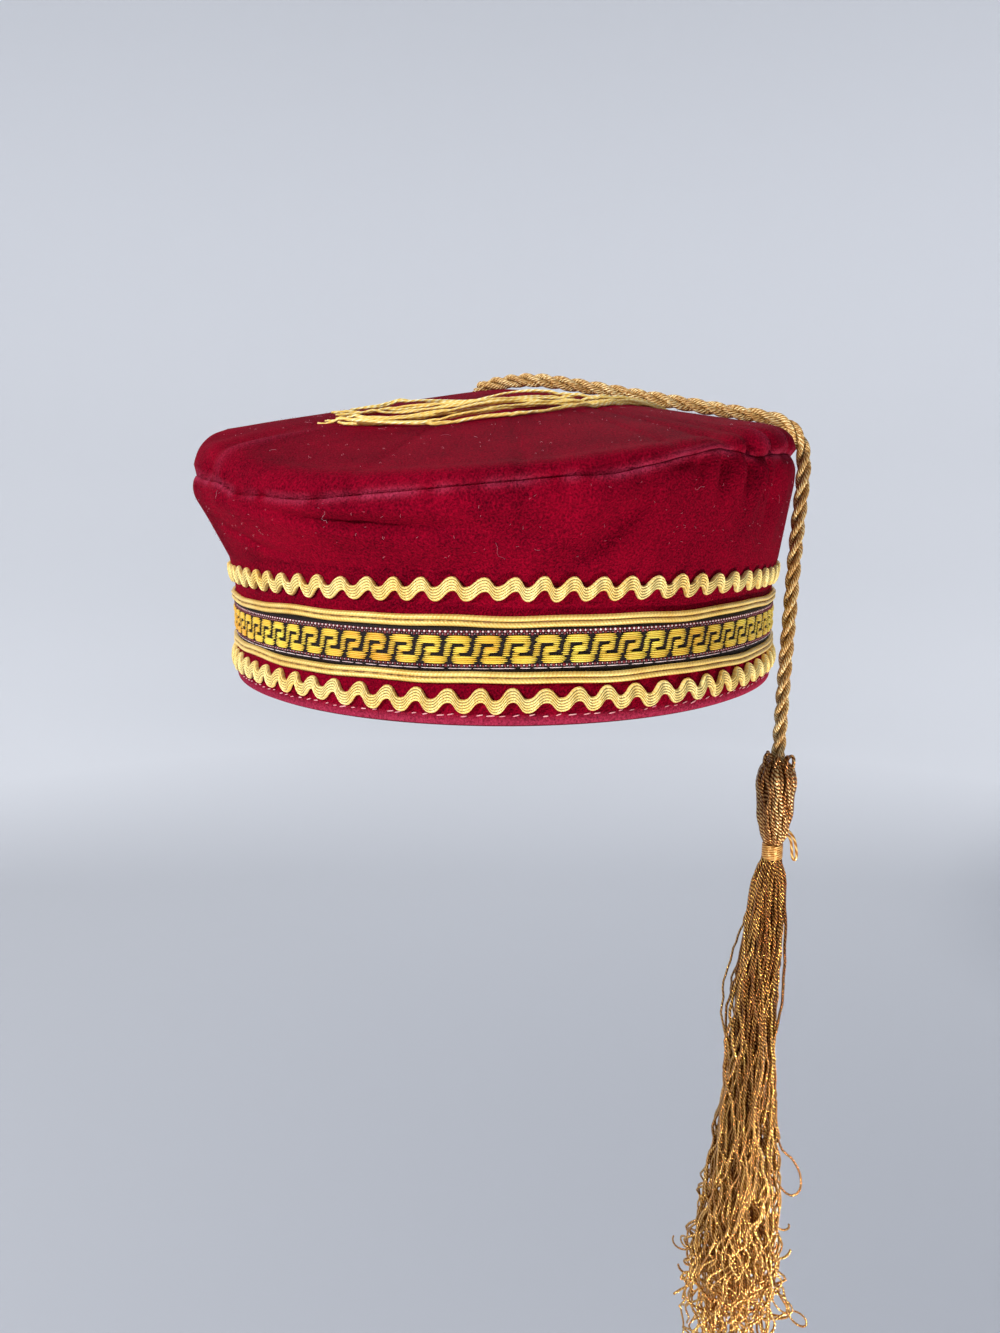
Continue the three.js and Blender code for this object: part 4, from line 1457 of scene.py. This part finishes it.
# One loop beside the skirt: way out from the axis and height, and its slant to the front.
SKIRT_LOOP = MM * np.array([
    (1.5, -60), (3, -90), (3.5, -120), (4, -145), (6, -158), (8.5, -166.5), (11.5, -169),
    (14.4, -174), (15, -180), (12.8, -183.5), (9.5, -182), (6.5, -176), (4, -168),
])
LOOP_FORWARD = -0.3
# Ends that turn up, one yarn in every few: their points, half turns, radius and sag in
# millimetres.
CURL_EVERY = 6
CURL_POINTS = 16
CURL_TURNS = (0.9, 1.6)
CURL_RADII = (2, 4.5)
CURL_SAGS = (0, 3)


def about_tassel(radius, angle, height):
    """Places round the tassel's axis."""
    parts = np.broadcast_arrays(radius * np.cos(angle), radius * np.sin(angle), height)
    return np.stack(parts, axis=-1) + TASSEL_AXIS


def skirt_line(rng, full, stray):
    """One strand of the skirt: kinked, drifting, and curly and ragged towards its end."""
    tip = SKIRT_BOTTOM + RAGGED * rng.uniform(0, 1) ** 2
    way = np.linspace(0, 1, SKIRT_POINTS)
    height = NECK_TOP + (tip - NECK_TOP) * way * (1 + CROWDED - CROWDED * way)
    share = (NECK_TOP - height) / (NECK_TOP - SKIRT_BOTTOM)
    radius = full * np.interp(height, SKIRT_PROFILE[:, 0], SKIRT_PROFILE[:, 1])
    angle = rng.uniform(0, FULL_TURN) + wander(rng, share, *SKIRT_TURN)
    below = (NECK_BOTTOM - height) / (NECK_BOTTOM - SKIRT_BOTTOM)
    hang = np.clip(below, 0, 1) ** LEAN_POWER
    leave = rng.uniform(*ESCAPE_FROM)
    away = np.sin(math.pi * np.clip((share - leave) / ESCAPE_SPAN, 0, 1)) ** 2
    place = []
    for across in (np.cos(angle), np.sin(angle)):
        drift = share**DRIFT_POWER * wander(rng, share, *DRIFT)
        kink = np.clip(share * KINKS_SOON, 0, 1) * wander(rng, share, *KINK)
        curl = share**CURL_POWER * wander(rng, share, CURL_WAVES, rng.uniform(*CURLS) * MM)
        place.append(radius * across + drift + kink + curl + stray * across * away)
    return np.column_stack([place[0] + SKIRT_LEAN * hang, place[1], height]) + TASSEL_AXIS


def curl_end(rng, line):
    """Turns the last stretch of a strand outwards and up into an open curl."""
    swing = np.linspace(0, rng.uniform(*CURL_TURNS) * math.pi, CURL_POINTS)
    start = line[-CURL_POINTS].copy()
    away = unit((start - TASSEL_AXIS - [SKIRT_LEAN, 0, 0]) * [1, 1, 0])
    size = rng.uniform(*CURL_RADII) * MM
    line[-CURL_POINTS:] = start + size * np.outer(1 - np.cos(swing), away)
    line[-CURL_POINTS:, 2] -= size * np.sin(swing) + rng.uniform(*CURL_SAGS) * MM * swing / math.pi


def make_skirt():
    rng = seeded(9)
    fulls = rng.uniform(*SKIRT_FULLS, SKIRT_YARNS) ** FULL_POWER
    escapes = rng.uniform(*ESCAPES, SKIRT_YARNS) * MM
    strays = np.where(np.arange(SKIRT_YARNS) < ESCAPEES, escapes, 0)
    lines = [skirt_line(rng, full, stray) for full, stray in zip(fulls, strays)]
    curl_rng = seeded(13)
    for line in lines[::CURL_EVERY]:
        curl_end(curl_rng, line)
    out, height = smooth_line(SKIRT_LOOP, SKIRT_POINTS).T
    lines.append(TASSEL_AXIS + np.column_stack([out, LOOP_FORWARD * out, height]))
    taper = np.linspace(1, SKIRT_TAPER, SKIRT_POINTS)
    thick = [taper * rng.uniform(*SKIRT_THICKS) for _ in lines]
    skirt = sweep_yarns(
        "tassel_skirt", lines, SKIRT_YARN_RADIUS, SKIRT_YARN_SIDES, TASSEL_YARN, thick
    )
    dress(skirt, "old_gold_cord", "tassel")


HEAD_YARNS = 34
HEAD_POINTS = 40
HEAD_YARN_RADIUS = 0.62 * MM
HEAD_YARN_SIDES = 7
HEAD_THICKS = (0.8, 1.1)
HEAD_TWIST = 0.5
HEAD_START = 0.2 * MM
# Swings down the head's yarns: round it and out of it.
HEAD_SWAY = ((1, 2), 0.25)
HEAD_SWELL = ((1, 2, 3), 0.5 * MM)
# Depth below the tassel's top and radius of the head there.
HEAD_PROFILE = MM * smooth_line([
    (0, 2.6), (1.6, 4.3), (4.5, 5.9), (8, 6.2), (12, 5.8), (18, 5.4), (22, 4.8), (25, 4.0),
    (27.2, 2.8), (29, 2.4),
], 60)
# The yarns inside the head, as one core: where it starts, and how many times as thick as a yarn
# it is, down to the neck.
CORE_TOP = TASSEL_TOP - 2 * MM
CORE_THICK = np.array([3, 7, 8.5, 8.5, 7.5, 5, 3.6, 3.6])
# Loops that stand out of the head: turn, radius at start, end and between, top and bottom.
HEAD_LOOPS = [
    (200, (2.0, 4.2, 0.6), 2.4, -2.0), (255, (1.8, 4.0, 0.5), 1.6, -2.4),
    (300, (2.0, 4.4, 0.7), 2.0, -2.2), (345, (2.0, 4.6, 0.9), 1.5, -3.0),
    (60, (2.0, 4.2, 0.6), 2.0, -2.4), (130, (1.9, 4.0, 0.6), 1.8, -2.0),
]
LOOP_POINTS = 24
LOOP_SWAY = 0.25
LOOP_THICK = 0.9


def make_head():
    rng = seeded(11)
    lines = []
    thick = []
    down = np.linspace(HEAD_START, HEAD_PROFILE[-1, 0], HEAD_POINTS)
    share = down / HEAD_PROFILE[-1, 0]
    profile = np.interp(down, HEAD_PROFILE[:, 0], HEAD_PROFILE[:, 1]) - HEAD_YARN_RADIUS
    for yarn in range(HEAD_YARNS):
        angle = FULL_TURN * yarn / HEAD_YARNS + HEAD_TWIST * share
        angle = angle + wander(rng, share, *HEAD_SWAY)
        radius = profile + wander(rng, share, *HEAD_SWELL)
        lines.append(about_tassel(radius, angle, TASSEL_TOP - down))
        thick.append(rng.uniform(*HEAD_THICKS))
    lines.append(about_tassel(0, 0, np.linspace(CORE_TOP, NECK_BOTTOM, len(CORE_THICK))))
    thick.append(CORE_THICK)
    swing = np.linspace(0, math.pi, LOOP_POINTS)
    for turn, (start, end, between), top, bottom in HEAD_LOOPS:
        radius = start + (end - start) * (1 - np.cos(swing)) / 2 + between * np.sin(swing)
        height = bottom + (top - bottom) * np.sin(swing)
        angle = math.radians(turn) + LOOP_SWAY * np.cos(swing)
        lines.append(about_tassel(radius * MM, angle, height * MM + TASSEL_TOP))
        thick.append(LOOP_THICK)
    head = sweep_yarns("tassel_head", lines, HEAD_YARN_RADIUS, HEAD_YARN_SIDES, LIT_HEAD_YARN, thick)
    dress(head, "old_gold_cord")


BINDING_TURNS = 8
BINDING_STEPS = 24
BINDING_RADIUS = 2.95 * MM
BINDING_THREAD = 0.36 * MM
BINDING_SIDES = 6
# A slack loop beside the neck: way out from the axis and height from the tassel's top.
SLACK_LOOP = MM * smooth_line([
    (3.0, -22.6), (4.8, -23.2), (6.4, -25.4), (7.2, -28.5), (7.4, -31.2), (6.9, -32.4),
    (6.2, -31.4), (5.8, -28.4), (5.4, -25.9), (4.4, -24.4), (3.0, -24.0),
], LOOP_POINTS * 2)
SLACK_TURN = 338
SLACK_THICK = 1.35


def make_binding():
    angle = np.linspace(0, FULL_TURN * BINDING_TURNS, BINDING_TURNS * BINDING_STEPS)
    height = np.linspace(NECK_BOTTOM + BINDING_THREAD, NECK_TOP - BINDING_THREAD, len(angle))
    out, drop = SLACK_LOOP.T
    lines = [
        about_tassel(BINDING_RADIUS, angle, height),
        about_tassel(out, math.radians(SLACK_TURN), drop + TASSEL_TOP),
    ]
    binding = sweep_yarns(
        "neck_binding", lines, BINDING_THREAD, BINDING_SIDES, BINDING_FLOSS, [1.0, SLACK_THICK]
    )
    dress(binding, "old_gold_cord", "tassel_binding")


# Studio

FLOOR_HEIGHT = -0.5
BOWL_PROFILE = smooth_line(
    [(0, 0), (1.6, 0), (2.6, 0.12), (3.5, 0.6), (4.0, 1.5), (4.1, 3.6)], 40
)
BOWL_COLUMNS = 64
# Painted shade on the paper: darker near the middle, lighter far off.
PAPER_NEAR = 0.5
PAPER_FAR = 1.8
NEAR_PAPER = (182, 186, 195)
FAR_PAPER = (238, 240, 245)
AIR = (226, 230, 236)
AIR_STRENGTH = 0.54
CAP_MIDDLE = (0, 0, 0.02)
TASSEL_MIDDLE = (0.083, -0.026, -0.16)
WHITE = (1.0, 1.0, 1.0)
# Lamps: name, place, aim, size, power, tint and spread in degrees.
LAMPS = [
    ("key", (-0.9, -0.82, 0.55), CAP_MIDDLE, 0.16, 18.5, (1.0, 0.98, 0.95), 180),
    ("spark", (0.25, -0.32, -0.42), TASSEL_MIDDLE, 0.08, 1.5, (1.0, 0.93, 0.82), 110),
    ("back", (0.2, 1.1, 0.7), CAP_MIDDLE, 0.8, 4, WHITE, 180),
    ("left_backdrop", (-1.3, 0.8, 0.9), (-1.5, 4, 1.1), 1.2, 15, WHITE, 180),
    ("right_backdrop", (1.3, 0.8, 0.9), (1.5, 4, 1.1), 1.2, 15, WHITE, 180),
]


def make_studio():
    angle = np.linspace(0, FULL_TURN, BOWL_COLUMNS, endpoint=False)
    out, height = BOWL_PROFILE[:, :1], BOWL_PROFILE[:, 1:] + FLOOR_HEIGHT
    rows = np.stack(
        np.broadcast_arrays(out * np.cos(angle), out * np.sin(angle), height), axis=-1
    )
    bowl = link_mesh("studio_floor", rows, ring_faces(len(rows), BOWL_COLUMNS, False)[:, ::-1])
    material, tree, shader = new_material("studio_paper", Roughness=0.9)
    inputs = {0: own_place(tree)}
    away = wire(tree, "ShaderNodeVectorMath", inputs, "Value", operation="LENGTH")
    # Darker near the middle, lighter far off: painted shade.
    far = span(tree, away, PAPER_NEAR, PAPER_FAR)
    paper = blend(tree, far, colour(NEAR_PAPER), colour(FAR_PAPER))
    tree.links.new(paper, shader.inputs["Base Color"])
    bowl.data.materials.append(material)
    world = bpy.data.worlds.new("studio_air")
    world.use_nodes = True
    air = world.node_tree.nodes["Background"]
    air.inputs["Color"].default_value = colour(AIR)
    air.inputs["Strength"].default_value = AIR_STRENGTH
    bpy.context.scene.world = world
    bpy.context.scene.view_settings.view_transform = "Standard"


def add_lamp(name, place, aim, size, power, tint, spread):
    data = bpy.data.lights.new(name, "AREA")
    data.size = size
    data.energy = power
    data.color = tint
    data.spread = math.radians(spread)
    lamp = bpy.data.objects.new(name, data)
    lamp.location = place
    x, y, z = np.array(aim) - np.array(place)
    lamp.rotation_euler = (math.atan2(math.hypot(x, y), -z), 0, math.atan2(-x, y))
    bpy.context.scene.collection.objects.link(lamp)


FLOAT_MOTIF = spindle("float_motif", rings=5, sides=6, fullness=0.6)
THREAD_MOTIF = spindle("thread_motif", rings=4, sides=5, fullness=0.35)
DOT_MOTIF = spindle("dot_motif", rings=3, sides=6, fullness=0.5)

add_camera()
make_cord()
make_side()
make_top()
make_lint()
make_rickrack("lower_rickrack", "rickrack_lower", 6.1 * MM, waves=80, swing=1.25 * MM, lean=0.12)
make_rickrack("upper_rickrack", "rickrack_upper", 30.6 * MM, waves=86, swing=1.15 * MM, lean=0.3)
make_soutache("lower_soutache", "braid_lower", 11.1 * MM)
make_soutache("upper_soutache", "braid_upper", 23.9 * MM)
make_ribbon()
make_hem_stitches()
make_spray()
make_skirt()
make_head()
make_binding()
for motif in (FLOAT_MOTIF, THREAD_MOTIF, DOT_MOTIF):
    bpy.data.objects.remove(motif)
make_studio()
for lamp in LAMPS:
    add_lamp(*lamp)
